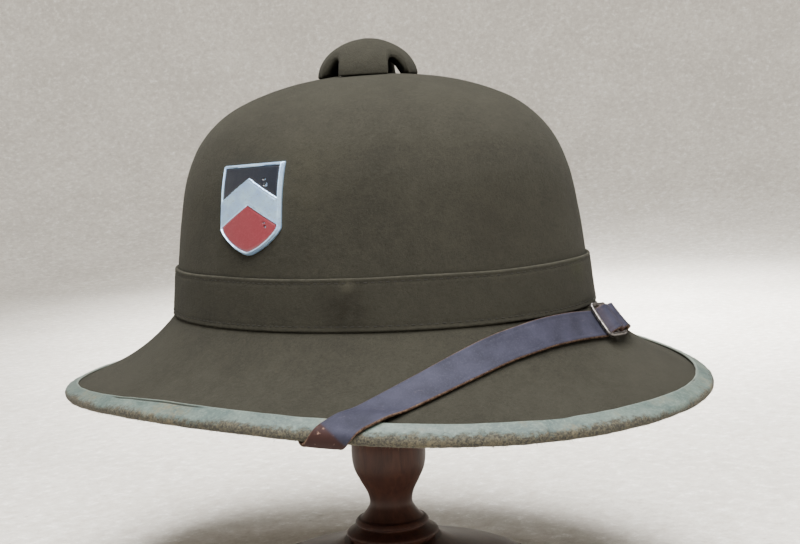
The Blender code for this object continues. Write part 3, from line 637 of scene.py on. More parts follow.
def binding_look():
    """Grey-green leather, rubbed to brown fibres along its lower half."""
    look = Look("binding_leather", 0.6)
    grain = look.noise(1.4, 4, 0.7)
    fibres = look.noise(1.0, 5, 0.85)
    crack_and_painted_shade = look.field("crack_and_painted_shade")
    tone = look.tint((0.030, 0.052, 0.049), look.noise(14), 0.35, 0.65, (0.070, 0.096, 0.084))
    tone = look.tint(tone, grain, 0.50, 0.75, (0.125, 0.155, 0.130), 0.8)
    tone = look.tint(tone, grain, 0.45, 0.28, (0.018, 0.028, 0.026), 0.6)
    ragged = look.ramp(look.noise(3, 5, 0.8), 0.3, 0.7, -0.12, 0.12)
    changes = look.ramp(look.noise(46, 2), 0.36, 0.64, 0.10, -0.10)
    lower = look.math("ADD", look.math("ADD", look.field("across"), ragged), changes)
    worn = look.tint((0.006, 0.005, 0.003), fibres, 0.44, 0.58, (0.075, 0.063, 0.038))
    tone = look.tint(tone, lower, 0.38, 0.50, worn, 0.92)
    patches = look.ramp(look.noise(18), 0.54, 0.66, 0.0, 0.7)
    patches = look.times(patches, look.ramp(look.noise(1.8, 4, 0.7), 0.42, 0.56))
    tone = look.mix(patches, tone, (0.115, 0.097, 0.056))
    # Painted shade: the splits are painted near black, standing for the shade inside them.
    tone = look.mix(crack_and_painted_shade, tone, (0.004, 0.005, 0.004))
    tone = look.mix(look.times(look.field("lip"), 0.6), tone, (0.17, 0.19, 0.165))
    look.roughen(lower, 0.35, 0.5, 0.58, 0.9)
    return look.finish(
        tone,
        (look.noise(5, 4), 0.5, 0.6),
        (grain, 0.25, 0.5),
        (look.times(fibres, look.ramp(lower, 0.38, 0.50)), 0.6, 0.9),
        (look.math("SUBTRACT", 1.0, crack_and_painted_shade), 0.5, 0.8),
    )


def strap_look():
    """Smooth dark leather with a shine tinted blue as a painted reflection of cool sky light, worn
    raw edges and a rough flesh side.
    """
    # Painted reflection: the blue specular tint stands in for cool sky light on the leather's shine.
    shine = {"Specular IOR Level": 0.07, "Specular Tint": (0.74, 0.80, 1.0)}
    look = Look("strap_leather", 0.55, shine)
    grain = look.noise(0.7, 4, 0.7)
    turned = look.field("turned")
    raw = look.field("raw")
    tone = look.tint((0.018, 0.018, 0.027), look.noise(11), 0.35, 0.65, (0.028, 0.028, 0.043))
    tone = look.tint(tone, grain, 0.52, 0.75, (0.044, 0.044, 0.064), 0.6)
    scratches = look.noise(6, 5, 0.8, look.stretched(0.35, 1.8))
    tone = look.tint(tone, scratches, 0.63, 0.70, (0.11, 0.095, 0.10), 0.5)
    brown = look.times(turned, look.ramp(grain, 0.30, 0.42, 0.75, 1.0))
    tone = look.mix(brown, tone, (0.026, 0.013, 0.011))
    rubbed = look.times(turned, look.ramp(look.noise(2, 4, 0.7), 0.60, 0.70))
    tone = look.mix(rubbed, tone, (0.16, 0.10, 0.075))
    flesh = look.noise(1.1, 4, 0.8)
    flesh = look.tint((0.026, 0.013, 0.009), flesh, 0.40, 0.62, (0.12, 0.080, 0.055))
    look.roughen(raw, 0.0, 1.0, 0.55, 0.9)
    return look.finish(look.mix(raw, tone, flesh), (grain, 0.12, 0.5), (look.noise(4), 0.25, 0.5))


def silver_look():
    """Silvered metal, its face stippled with fine flecks, its colour tinted blue as a painted
    reflection of cool sky light.
    """
    look = Look("silvered_metal", 0.38, {"Metallic": 0.85})
    hatch = look.noise(1.2, 4, 0.75, look.stretched(0.7, 1.6))
    # Painted reflection: the blue in the silver stands in for the cool sky light that it reflects.
    tone = look.tint((0.40, 0.60, 0.92), look.noise(6), 0.35, 0.65, (0.53, 0.76, 1.0))
    tone = look.tint(tone, hatch, 0.46, 0.34, (0.36, 0.41, 0.46), 0.45)
    look.roughen(hatch, 0.3, 0.7, 0.30, 0.52)
    return look.finish(tone, (hatch, 0.10, 0.7))


def enamel_look(name, base, fleck):
    look = Look(name, 0.28, {"Coat Weight": 0.35, "Coat Roughness": 0.15})
    tone = look.tint(base, look.noise(0.8, 4, 0.75), 0.45, 0.8, fleck, 0.6)
    return look.finish(tone, (look.noise(2.5), 0.12, 0.6))


def steel_look():
    """Dark browned steel, rubbed bright along its outer corners."""
    look = Look("dark_steel", 0.45, {"Metallic": 0.85})
    patch = look.noise(1.6, 4, 0.7)
    tone = look.tint((0.016, 0.014, 0.016), patch, 0.35, 0.65, (0.060, 0.052, 0.050))
    rubbed = look.times(look.field("worn"), look.ramp(patch, 0.36, 0.56))
    look.roughen(patch, 0.3, 0.7, 0.36, 0.56)
    return look.finish(look.mix(rubbed, tone, (0.50, 0.47, 0.45)), (patch, 0.08, 0.6))


def wood_look():
    """Dark turned wood under old varnish, its grain running up the turning."""
    varnish = {"Coat Weight": 0.05, "Coat Roughness": 0.35, "Specular IOR Level": 0.25}
    look = Look("stand_wood", 0.55, varnish)
    grain = look.noise(4, 5, 0.7, look.stretched(1.0, 0.10), 1.2)
    rings = look.noise(1.1, place=look.stretched(0.12, 1.0))
    tone = look.tint((0.036, 0.014, 0.010), grain, 0.35, 0.65, (0.070, 0.027, 0.017))
    tone = look.tint(tone, look.noise(20), 0.42, 0.7, (0.020, 0.009, 0.008), 0.55)
    return look.finish(tone, (grain, 0.06, 0.4), (rings, 0.08, 0.6))


def thread_look(name, dark, pale):
    look = Look(name, 0.9)
    tone = look.tint(dark, look.noise(0.9, 3, 0.7), 0.35, 0.65, pale)
    return look.finish(tone, (look.noise(0.4, 2), 0.05, 0.7))


def paper_look():
    """Pale wrapping paper with clouds, flecks and dots."""
    look = Look("studio_paper", 0.92, {"Specular IOR Level": 0.15})
    flecks = look.noise(10, 7, 0.85)
    tone = look.tint((0.60, 0.572, 0.522), look.noise(120, 4), 0.3, 0.7, (0.70, 0.672, 0.620))
    tone = look.tint(tone, flecks, 0.50, 0.34, (0.50, 0.455, 0.41), 0.9)
    tone = look.tint(tone, flecks, 0.53, 0.66, (0.90, 0.88, 0.85))
    tone = look.tint(tone, look.noise(5, 2, 0.5), 0.27, 0.20, (0.30, 0.27, 0.24), 0.6)
    return look.finish(tone, (look.noise(2.5, 4, 0.7), 0.15, 0.35))


# Waves in the surfaces. Columns: rise, size of the hills, seed
FELT_WAVES = ((0.30 * MM, 30 * MM, 1), (0.08 * MM, 7 * MM, 2))
BAND_WAVES = ((0.16 * MM, 16 * MM, 4), (0.05 * MM, 4 * MM, 5))
BINDING_WAVES = ((0.28 * MM, 9 * MM, 9), (0.16 * MM, 2.4 * MM, 10))
CAP_WAVES = ((0.25 * MM, 14 * MM, 12), (0.08 * MM, 4 * MM, 13))
PLATE_WAVES = ((0.05 * MM, 5 * MM, 14),)
ENAMEL_WAVES = ((0.05 * MM, 3 * MM, 15),)
STRAP_WAVES = ((0.05 * MM, 5 * MM, 17),)

OLIVE = (0.0205, 0.0196, 0.0150)

# Stains and rubbed spots, and one spot of painted shade on the band.
# Columns: degrees from the front, height over the band's foot, radius, tint against the felt, weight
BAND_STAINS_AND_SHADE = (
    (-62, 9 * MM, 15 * MM, (0.45, 0.42, 0.38), 0.75),
    (8, 17 * MM, 9 * MM, (1.1, 1.25, 0.9), 0.6),
    (-61.5, 18.4 * MM, 4.5 * MM, (2.2, 2.2, 2.1), 0.6),
    # Painted shade: a dark spot standing for the shade inside a small hole near the band's top edge.
    (-57.5, 19.0 * MM, 2.2 * MM, (0.2, 0.2, 0.2), 0.9),
    (115, 10 * MM, 12 * MM, (0.5, 0.5, 0.45), 0.6),
)
CROWN_STAINS = (
    (-75, 62 * MM, 26 * MM, (1.5, 1.5, 1.4), 0.4),
    (-20, 40 * MM, 22 * MM, (0.75, 0.73, 0.7), 0.5),
    (100, 50 * MM, 30 * MM, (0.75, 0.73, 0.7), 0.5),
)
FELT = felt_look("felt_olive", OLIVE, stains_and_shade_at(CROWN_STAINS))
BAND_FELT = felt_look("felt_band", shaded(OLIVE, 0.95), stains_and_shade_at(BAND_STAINS_AND_SHADE))
CAP_FELT = felt_look("felt_cap", shaded(OLIVE, 0.98))
BINDING = binding_look()
STRAP = strap_look()
SILVER = silver_look()
DARK_ENAMEL = enamel_look("enamel_dark", (0.006, 0.008, 0.014), (0.022, 0.028, 0.040))
RED_ENAMEL = enamel_look("enamel_red", (0.135, 0.016, 0.024), (0.22, 0.055, 0.066))
STEEL = steel_look()
WOOD = wood_look()
SEAM_THREAD = thread_look("thread_dark", (0.0040, 0.0036, 0.0028), (0.0100, 0.0090, 0.0068))
FIBRE_THREAD = thread_look("thread_frayed", (0.040, 0.033, 0.022), (0.150, 0.128, 0.088))


# Felt crown and brim

CROWN_SPACING = 2.2 * MM
BRIM_ROWS = 34
EDGE_ROWS = 6
EDGE_CALM = 0.35


def crown_meridian():
    """Rows of share of the foot's size and height, from the vent hole's rim down to the foot."""
    mean = (CROWN_LENGTH + CROWN_WIDTH) / 4
    line = PROFILE[::-1] * np.array([CROWN_HEIGHT, mean])
    line = even_steps(line[line[:, 1] >= VENT_HOLE_RADIUS], CROWN_SPACING)
    return np.stack([line[:, 1] / mean, line[:, 0]], axis=1)


def grid_normal(grid):
    """Outward normals of a grid whose rows run down and whose columns run round."""
    down = np.gradient(grid, axis=0)
    around = np.roll(grid, -1, axis=1) - np.roll(grid, 1, axis=1)
    return unit(np.cross(down, around))


def make_felt():
    angle = full_turn()[None, :]
    meridian = crown_meridian()
    crown = oval(angle, meridian[:, :1], meridian[:, 1:])
    brim = brim_point(angle, np.linspace(0, 1, BRIM_ROWS + 1)[1:, None])
    outer = np.concatenate([crown, brim])
    calm = ease((outer[..., 2] + BINDING_WIDTH) / (2 * BINDING_WIDTH))
    normal = grid_normal(outer)
    lift = waves(outer, FELT_WAVES) * np.maximum(calm, EDGE_CALM)
    outer = outer + normal * lift[..., None]
    inner = outer - normal * FELT_WALL
    turn = np.linspace(0, math.pi, EDGE_ROWS + 2)[1:-1, None]
    rim = edge_centre(angle) + edge_direction(angle, turn) * FELT_WALL / 2
    inside_rows = list(range(len(outer) - 2, 0, -2)) + [0]
    grid = np.concatenate([outer, rim, inner[inside_rows]])
    make_piece("felt_shell", ring_shell(grid), FELT, "felt_body")


# Hat band

BAND_ROWS = 30
BAND_WAVE = 0.45 * MM
BAND_SEAM = 1.7 * MM
BAND_SAG = 0.9 * MM
FOOT_SEAM = 1.6 * MM
FOOT_SEAM_SHARE = 0.8
LIP_RISE = 0.12 * MM
HEM_RISE = 0.22 * MM
SEAM_DEPTH = 0.24 * MM
SEAM_SPREAD = 0.40 * MM
BAND_STITCH = 2.0 * MM
BAND_PITCH = 3.1 * MM
THREAD_RADIUS = 0.19 * MM


def band_top(angle):
    return BAND_HEIGHT + BAND_WAVE * ring_lumps(angle, 14, 3)


def crown_lifted(angle, height, lift):
    """A point off the crown's felt, by its height over the band's foot and its lift."""
    return crown_point(angle, height) + crown_normal(angle, height) * lift[..., None]


def band_relief(angle, height):
    """Thickness of the band over its own wall: folded lips and sunk seams."""
    from_top = band_top(angle) - height
    lip = LIP_RISE * bump(from_top, 0.4 * MM, 0.5 * MM)
    hem = HEM_RISE * bump(height, 0.2 * MM, 1.2 * MM)
    seams = bump(from_top, BAND_SEAM, SEAM_SPREAD)
    seams = seams + FOOT_SEAM_SHARE * bump(height, FOOT_SEAM, SEAM_SPREAD)
    return lip + hem - SEAM_DEPTH * seams + waves(crown_point(angle, height), BAND_WAVES)


def make_band():
    angle = full_turn()[:, None]
    share = (1 - np.cos(math.pi * np.linspace(0, 1, BAND_ROWS))) / 2
    height = band_top(angle) * share + FIT_GAP
    rounding = np.sqrt(np.clip(1 - (2 * share - 1) ** 24, 0, 1))
    wall = (BAND_WALL + band_relief(angle, height)) * (0.65 + 0.35 * rounding)
    outer = crown_lifted(angle, height - BAND_SAG * bump(share, 0, 0.05), FIT_GAP + wall)
    inner_height = height[:, [-1, BAND_ROWS // 2, 0]]
    inner = crown_lifted(angle, inner_height, 0 * inner_height + FIT_GAP / 2)
    grid = np.concatenate([outer, inner], axis=1)[:, ::-1]
    edge = bump(share, 1, 0.022) * 0.9 + bump(share, 0, 0.05) * 0.35
    worn = np.tile(np.concatenate([edge, [0, 0, 0]])[::-1], (len(grid), 1))
    make_piece("band_felt", ring_shell(grid), BAND_FELT, "hat_band", {"worn": worn})


def stitch(start, end, normal):
    """One thread stitch that dips into the felt at both ends."""
    share = np.linspace(0, 1, 6)
    swell = np.sin(math.pi * share)
    path = blend(start, end, share[:, None])
    path = path + normal * ((swell - 0.45) * THREAD_RADIUS * 1.6)[:, None]
    return tube(path, THREAD_RADIUS * (0.55 + 0.45 * swell), normal)


def make_band_stitches():
    angles = np.linspace(0, 2 * math.pi, 2881)
    travel = travel_along(crown_point(angles, 0 * angles))
    count = int(travel[-1] / BAND_PITCH)
    starts = travel[-1] * np.arange(count) / count
    begin = np.interp(starts, travel, angles)
    stop = np.interp(starts + BAND_STITCH, travel, angles)
    shells = []
    for seam in (lambda angle: band_top(angle) - BAND_SEAM, lambda angle: 0 * angle + FOOT_SEAM):
        ends = []
        for angle in (begin, stop):
            lift = FIT_GAP + BAND_WALL + band_relief(angle, seam(angle))
            ends.append(crown_lifted(angle, seam(angle), lift))
        for start, end, normal in zip(*ends, crown_normal(begin, seam(begin))):
            shells.append(stitch(start, end, normal))
    make_piece("band_stitches", join_shells(shells), SEAM_THREAD)


# Leather binding round the edge

BINDING_TOP_ROWS = 22
BINDING_TURN_ROWS = 14
BINDING_UNDER_ROWS = 6
TURN_START = 0.36
TURN_END = 0.82
LIP_WAVE = 0.5 * MM
LIP_TATTER = 0.35 * MM
LIP_SPREAD = 2.2 * MM
LIP_STAND_OFF = 0.10 * MM

# Places where the upper lip has come loose.
# Columns: middle in degrees from the front, half width in degrees, lift
LOOSE_LIPS = (
    (-95, 9, 0.5 * MM),
    (38, 9, 0.6 * MM),
    (150, 12, 0.9 * MM),
)

# Places where the leather has split along its upper lip: sunk, and painted near black inside as
# painted shade.
# Columns: first and last place in degrees from the front, distance from the lip
CRACKS = (
    (-109, -84, 1.3 * MM),
    (14, 19, 0.6 * MM),
    (-31, -22, 0.5 * MM),
    (120, 136, 1.2 * MM),
)
CRACK_WIDTH = 0.42 * MM
CRACK_DEPTH = 0.45 * MM
CRACK_FADE = 2.5
CRACK_WANDER = 0.25 * MM
EDGE_SWELL = 0.10

# Where the binding is wider or narrower than elsewhere.
# Columns: middle in degrees from the front, half width in degrees, change
LIP_CHANGES = (
    (-145, 34, -2.6 * MM),
    (-75, 34, 0.8 * MM),
    (22, 30, -0.9 * MM),
)


def degrees_from(angle, middle):
    return (np.degrees(angle) - middle + 180) % 360 - 180


def swells(angle, rows):
    """Smooth hills round the edge, from rows of middle, half width and height."""
    return sum(rise * bump(degrees_from(angle, middle), 0, half) for middle, half, rise in rows)


def lip_distance(angle):
    tatter = LIP_WAVE * ring_lumps(angle, 22, 6) + LIP_TATTER * ring_lumps(angle, 90, 7)
    return BINDING_WIDTH + tatter + swells(angle, LIP_CHANGES)


def loose_lip(angle):
    return LIP_STAND_OFF * (1 + ring_lumps(angle, 30, 8)) + swells(angle, LOOSE_LIPS)


def crack_share(angle, from_lip):
    """1 in the middle of a split in the leather, 0 away from it."""
    share = 0 * (angle + from_lip)
    for first, last, distance in CRACKS:
        half = (last - first) / 2
        off = np.abs(degrees_from(angle, first + half))
        along = ease((half - off) / CRACK_FADE)
        line = distance + CRACK_WANDER * ring_lumps(angle, 40, 18)
        share = np.maximum(share, along * bump(from_lip, line, CRACK_WIDTH * (0.35 + 0.65 * along)))
    return share


def brim_lifted(angle, reach, lift):
    return brim_point(angle, reach) + brim_normal(angle, reach) * lift[..., None]


def over_brim(angle, distance, lift):
    return brim_lifted(angle, reach_from_edge(angle, distance), lift)


def under_brim(angle, distance, lift):
    return brim_lifted(angle, reach_from_edge(angle, distance), -(FELT_WALL + lift))


def leather_lift(share):
    """How far the leather's face stands off the felt, rounded off towards its lip."""
    rounding = np.sqrt(np.clip(1 - share**14, 0, 1))
    return FIT_GAP / 2 + (BINDING_WALL + FIT_GAP / 2) * (0.5 + 0.5 * rounding)


def make_binding():
    angle = full_turn(2 * AROUND)[:, None]
    lip = lip_distance(angle)
    loose = loose_lip(angle)
    share = np.linspace(1, 0, BINDING_TOP_ROWS)[None, :]
    from_lip = (1 - share) * lip
    crack_and_painted_shade = crack_share(angle, from_lip)
    lift = leather_lift(share) + loose * bump(from_lip, 0, LIP_SPREAD) - CRACK_DEPTH * crack_and_painted_shade
    top = over_brim(angle, share * lip, lift)
    share = np.linspace(0, 1, BINDING_UNDER_ROWS)[None, :]
    under = under_brim(angle, share * lip, leather_lift(share))
    turn = np.linspace(0, math.pi, BINDING_TURN_ROWS + 2)[None, 1:-1]
    swell = 1 + EDGE_SWELL * np.sin(turn)[..., None] ** 2
    side = edge_centre(angle) + edge_direction(angle, turn) * BINDING_RADIUS * swell
    outer = np.concatenate([top, side, under], axis=1)
    gap = FIT_GAP / 3
    inner = [
        under_brim(angle, lip, 0 * lip + gap),
        edge_centre(angle) + edge_outward(angle) * (FELT_WALL / 2 + gap),
        over_brim(angle, 0.55 * lip, 0.15 * loose + gap),
        over_brim(angle, lip, loose + gap),
    ]
    count = outer.shape[1]
    across = np.interp(
        np.arange(count),
        [0, BINDING_TOP_ROWS - 1, BINDING_TOP_ROWS + BINDING_TURN_ROWS, count - 1],
        [0, TURN_START, TURN_END, 1],
    )
    ripple = waves(outer, BINDING_WAVES) * np.sin(math.pi * across)
    normal = unit(np.cross(np.gradient(outer, axis=0), np.gradient(outer, axis=1)))
    outer = outer - normal * ripple[..., None]
    grid = np.concatenate([outer, *inner], axis=1)
    across = np.tile(across, (len(grid), 1))
    hidden = ((0, 0), (0, len(inner)))
    fields = {
        "across": np.pad(across, hidden, constant_values=1)[:, ::-1],
        "lip": np.pad(bump(across, 0, 0.03), hidden)[:, ::-1],
        "crack_and_painted_shade": np.pad(crack_and_painted_shade, ((0, 0), (0, grid.shape[1] - BINDING_TOP_ROWS)))[:, ::-1],
    }
    shape = ring_shell(grid[:, ::-1])
    make_piece("binding_leather", shape, BINDING, "brim_binding", fields)


# Frayed fibres along the worn binding

FIBRE_COUNT = 900
FIBRE_RADIUS = 0.07 * MM
FIBRE_SEED = 11


def make_fibres():
    random = np.random.default_rng(FIBRE_SEED)
    share = np.linspace(0, 1, 5)[:, None]
    shells = []
    for _ in range(FIBRE_COUNT):
        angle = random.uniform(-math.pi, math.pi)
        away = edge_direction(angle, random.uniform(0.50, 0.95) * math.pi)
        centre = edge_centre(angle)
        along = unit(edge_centre(angle + TURN_STEP) - centre)
        length = random.uniform(0.6, 1.0 + 1.6 * random.random() ** 3) * MM
        lean = along * random.uniform(-1.4, 1.4) + away * random.uniform(0.15, 0.8)
        lean = lean + np.array([0, 0, -1]) * random.uniform(0.0, 0.8)
        bend = np.cross(lean, away) * random.uniform(-0.8, 0.8)
        path = centre + away * BINDING_RADIUS * 1.04
        path = path + unit(lean) * length * share + bend * length * share**2 * 0.6
        shells.append(tube(path, FIBRE_RADIUS * (1.1 - share[:, 0]), away, 3))
    make_piece("frayed_fibres", join_shells(shells), FIBRE_THREAD)


# Vent cap

CAP_COLUMNS = 192
CAP_ROWS = 44
CAP_ROLL = 1.6 * MM
CAP_EDGE_ROLL = 0.9 * MM
CAP_TAIL = 0.16
CAP_DRAW_IN = 0.9 * MM
CAP_INNER_RADIUS = 0.4 * MM

# How deep the felt is turned in at each arch, from the front towards the wearer's left
ARCH_DEPTHS = np.array([3.0, 6.0, 6.0, 6.0]) * MM


def cap_foot():
    return crown_height(CAP_RADIUS / (CROWN_LENGTH / 2)) + FIT_GAP


def cap_foot_line(angle):
    """The cap's lower edge, with the arches' shape and how far the felt is turned in."""
    spacing = 2 * math.pi / ARCH_COUNT
    index = np.round((angle - CAP_TURN) / spacing)
    chord = np.abs(CAP_RADIUS * np.sin(angle - CAP_TURN - index * spacing)) / (ARCH_WIDTH / 2)
    arch = np.clip(1 - chord**2.4, 0, 1) ** 0.5
    low = cap_foot() + (CROWN_HEIGHT + ARCH_RISE - cap_foot()) * arch
    depth = ARCH_DEPTHS[index.astype(int) % ARCH_COUNT] - CAP_WALL
    return low, arch, depth * ease((1.45 - chord) / 0.3)


def from_share(share, start):
    """0 up to a share of the way down the cap, rising smoothly to 1 at its edge."""
    return ease((share - start) / (1 - start))


def make_cap():
    angle = full_turn(CAP_COLUMNS)[None, :]
    low, arch, turned_in = cap_foot_line(angle)
    quarter = math.pi / 2
    foot = low.min()
    waist = foot + CAP_FOOT
    top = CROWN_HEIGHT + CAP_RISE
    share = np.linspace(0, 1, CAP_ROWS)[1:, None]
    reach = np.arccos(np.clip((low - waist) / (top - waist), 0, 1))
    reach = reach + CAP_TAIL * quarter * np.clip((waist - low) / (waist - foot), 0, 1)
    tail = np.clip((share * reach / quarter - 1) / CAP_TAIL, 0, 1)
    turn = np.minimum(share * reach, quarter)
    height = waist + (top - waist) * np.cos(turn) - CAP_FOOT * tail
    roll = CAP_ROLL * arch * from_share(share, 0.72)
    roll = roll + CAP_EDGE_ROLL * (0.2 + 0.8 * arch) * from_share(share, 0.90) ** 2
    roll = roll + CAP_DRAW_IN * np.sin(2 * turn)
    radius = CAP_RADIUS * np.sin(turn) - roll
    outer = polar(angle, radius, height)
    outer = outer + grid_normal(outer) * waves(outer, CAP_WAVES)[..., None]
    wall = CAP_WALL + turned_in * from_share(share, 0.5)
    drop = CAP_WALL * np.cos(turn) * (1 - from_share(share, 0.8))
    inner = polar(angle, np.clip(radius - wall, CAP_INNER_RADIUS, None), height - drop)
    grid = np.concatenate([outer, inner[::-2]])
    worn = np.repeat(0.4 * bump(share, 1, 0.05), CAP_COLUMNS)
    make_piece("cap_felt", rod_shell(grid), CAP_FELT, "vent_cap", {"worn": worn})


# Shield badge

SHIELD_COLUMNS = 110
SHIELD_ROWS = 136
RIM_TOP = 2.40 * MM
RIM_BEVEL = 0.95 * MM
BED_TOP = 1.40 * MM
ENAMEL_TOP = 2.05 * MM
WALL_SPREAD = 0.25 * MM
ENAMEL_INSET = 0.18 * MM
ENAMEL_EDGE = SHIELD_RIM + ENAMEL_INSET
ENAMEL_FALL = 0.28 * MM
ENAMEL_ROUND = 0.9 * MM
ENAMEL_SUNK = 0.15 * MM
ENAMEL_COLUMNS = 72
CHIP_DEPTH = 0.1 * MM
GROOVE_INSET = 0.80 * MM
GROOVE_SPREAD = 0.18 * MM
GROOVE_SUNK = 0.30 * MM
CHEVRON_SHARE = 0.75


def shield_spot(aside, height, lift):
    """A point over the crown's right wall, by the shield's own places aside and up."""
    up = height - SHIELD_MIDDLE
    back = aside * math.cos(SHIELD_TILT) + up * math.sin(SHIELD_TILT) - SHIELD_AHEAD
    height = SHIELD_MIDDLE + up * math.cos(SHIELD_TILT) - aside * math.sin(SHIELD_TILT)
    half = CROWN_LENGTH / 2 * crown_share(height)
    return crown_lifted(-np.arccos(-back / half), height, lift)


def shield_top(inset):
    return SHIELD_MIDDLE + SHIELD_HEIGHT / 2 - inset


def shield_foot(aside, inset):
    """The height of the shield's lower edge, drawn in by an inset."""
    half = SHIELD_WIDTH / 2 - inset
    bow = SHIELD_HEIGHT * (1 - SHIELD_STRAIGHT) - inset
    curve = (1 - np.minimum(np.abs(aside) / half, 1) ** SHIELD_POINT) ** (1 / SHIELD_POINT)
    return shield_top(0) - SHIELD_HEIGHT * SHIELD_STRAIGHT - bow * curve


def chevron_line(aside, below):
    peak = shield_top(0) - CHEVRON_PEAK * SHIELD_HEIGHT
    return peak - CHEVRON_RISE * np.abs(aside) / (SHIELD_WIDTH / 2) - below


CHEVRON_SLANT = math.cos(math.atan(CHEVRON_RISE / (SHIELD_WIDTH / 2)))


def shield_grid(low, high, inset, columns, rows):
    """Places aside and heights, spread between a lower and an upper edge."""
    half = SHIELD_WIDTH / 2 - inset
    aside = half * np.sin(math.pi / 2 * (1 - 2 * np.arange(columns + 1) / columns))[None, :]
    share = np.linspace(0, 1, rows + 1)[:, None]
    return aside + 0 * share, blend(high(aside), low(aside), share)


def rim_distance(aside, height):
    """Distance in from the shield's outline."""
    half = SHIELD_WIDTH / 2
    turn = np.linspace(0, math.pi, 240)
    across = half * np.cos(turn)
    foot = np.stack([across, shield_foot(across, 0)], axis=1)
    gap = np.full(aside.shape, np.inf)
    for x, y in foot:
        gap = np.minimum(gap, np.hypot(aside - x, height - y))
    gap = np.minimum(gap, shield_top(0) - height)
    return np.where(height > foot[0, 1], np.minimum(gap, half - np.abs(aside)), gap)


def slab_on_crown(aside, height, front, back):
    """A thick sheet on the crown's right wall, between two lifts."""
    return slab(shield_spot(aside, height, front), shield_spot(aside, height, back + 0 * front))


def make_shield():
    aside, height = shield_grid(
        lambda x: shield_foot(x, 0), lambda x: shield_top(0), 0, SHIELD_COLUMNS, SHIELD_ROWS
    )
    gap = rim_distance(aside, height)
    rim = ease((SHIELD_RIM + WALL_SPREAD / 2 - gap) / WALL_SPREAD)
    above = (height - chevron_line(aside, 0)) * CHEVRON_SLANT
    below = (chevron_line(aside, CHEVRON_WIDTH) - height) * CHEVRON_SLANT
    outside = np.maximum(above, below)
    chevron = ease((WALL_SPREAD / 2 - outside) / WALL_SPREAD)
    grooves = bump(outside, -GROOVE_INSET, GROOVE_SPREAD) * ease((gap - SHIELD_RIM) / (0.5 * MM))
    flat = (RIM_TOP - BED_TOP) * np.maximum(rim, CHEVRON_SHARE * chevron)
    relief = BED_TOP + flat - GROOVE_SUNK * grooves
    lift = FIT_GAP + (relief - FIT_GAP) * (0.30 + 0.70 * np.minimum(gap / RIM_BEVEL, 1))
    lift = lift + waves(vectors(aside, height, 0 * aside), PLATE_WAVES)
    shape = slab_on_crown(aside, height, lift, FIT_GAP / 3)
    make_piece("badge_plate", shape, SILVER, "shield_plate", sharp=60)


# Chips in the enamel. Columns: place aside, height over the band's foot, radius
DARK_CHIPS = ((-9.6 * MM, 59.8 * MM, 0.8 * MM), (-8.8 * MM, 61.9 * MM, 0.45 * MM))
RED_CHIPS = ((-9.8 * MM, 42.4 * MM, 0.6 * MM), (-9.2 * MM, 44.1 * MM, 0.45 * MM))


def make_enamel(color, low, high, rows, chips, material):
    """One field of enamel between a lower and an upper edge."""
    aside, height = shield_grid(low, high, ENAMEL_EDGE, ENAMEL_COLUMNS, rows)
    share = np.linspace(0, 1, rows + 1)[:, None]
    span = np.abs(high(aside) - low(aside))
    to_side = SHIELD_WIDTH / 2 - ENAMEL_EDGE - np.abs(aside)
    edge = np.minimum(np.minimum(share, 1 - share) * span, to_side)
    lift = ENAMEL_TOP - ENAMEL_FALL * (1 - ease(edge / ENAMEL_ROUND))
    spot = vectors(aside, height, 0 * aside)
    lift = lift + waves(spot, ENAMEL_WAVES)
    for x, y, radius in chips:
        off = np.hypot(aside - x, height - y) / radius + 0.5 * lumps(spot, 0.8 * MM, 16)
        lift = np.where(off < 1, BED_TOP - CHIP_DEPTH, lift)
    shape = slab_on_crown(aside, height, lift, BED_TOP - ENAMEL_SUNK)
    node = "shield_field_" + color
    make_piece("badge_enamel_" + color, shape, material, node, sharp=60)


def make_enamels():
    gap = ENAMEL_INSET / CHEVRON_SLANT
    make_enamel(
        "dark",
        lambda x: chevron_line(x, -gap),
        lambda x: shield_top(ENAMEL_EDGE) + 0 * x,
        48,
        DARK_CHIPS,
        DARK_ENAMEL,
    )
    make_enamel(
        "red",
        lambda x: shield_foot(x, ENAMEL_EDGE),
        lambda x: chevron_line(x, CHEVRON_WIDTH + gap),
        64,
        RED_CHIPS,
        RED_ENAMEL,
    )


# Chin strap. Travel runs in from the bound edge's top below zero, round the edge up to
# WRAP_TRAVEL, and from there under the brim and up the crown's inner wall.

STRAP_AIM = 3.5 * MM
STRAP_FINE = 1.2 * MM
STRAP_FLAT = 25
TURNED_SLOPE = 0.62
TURNED_FADE = 0.30
GROOVE_DEPTH = 0.16 * MM
FLESH_RAW = 0.55


def over_binding(distance):
    return 1 - ease((distance - BINDING_WIDTH - BINDING_WALL) / STRAP_STEP_DOWN)


def lean(angle, distance):
    """How far the strap stands off near the crown's foot, by distance from the edge."""
    near = 1 - (brim_width(angle) - distance) / LEAN_SPAN
    return LEAN_RISE * (near + np.hypot(near, LEAN_SOFTNESS)) / 2


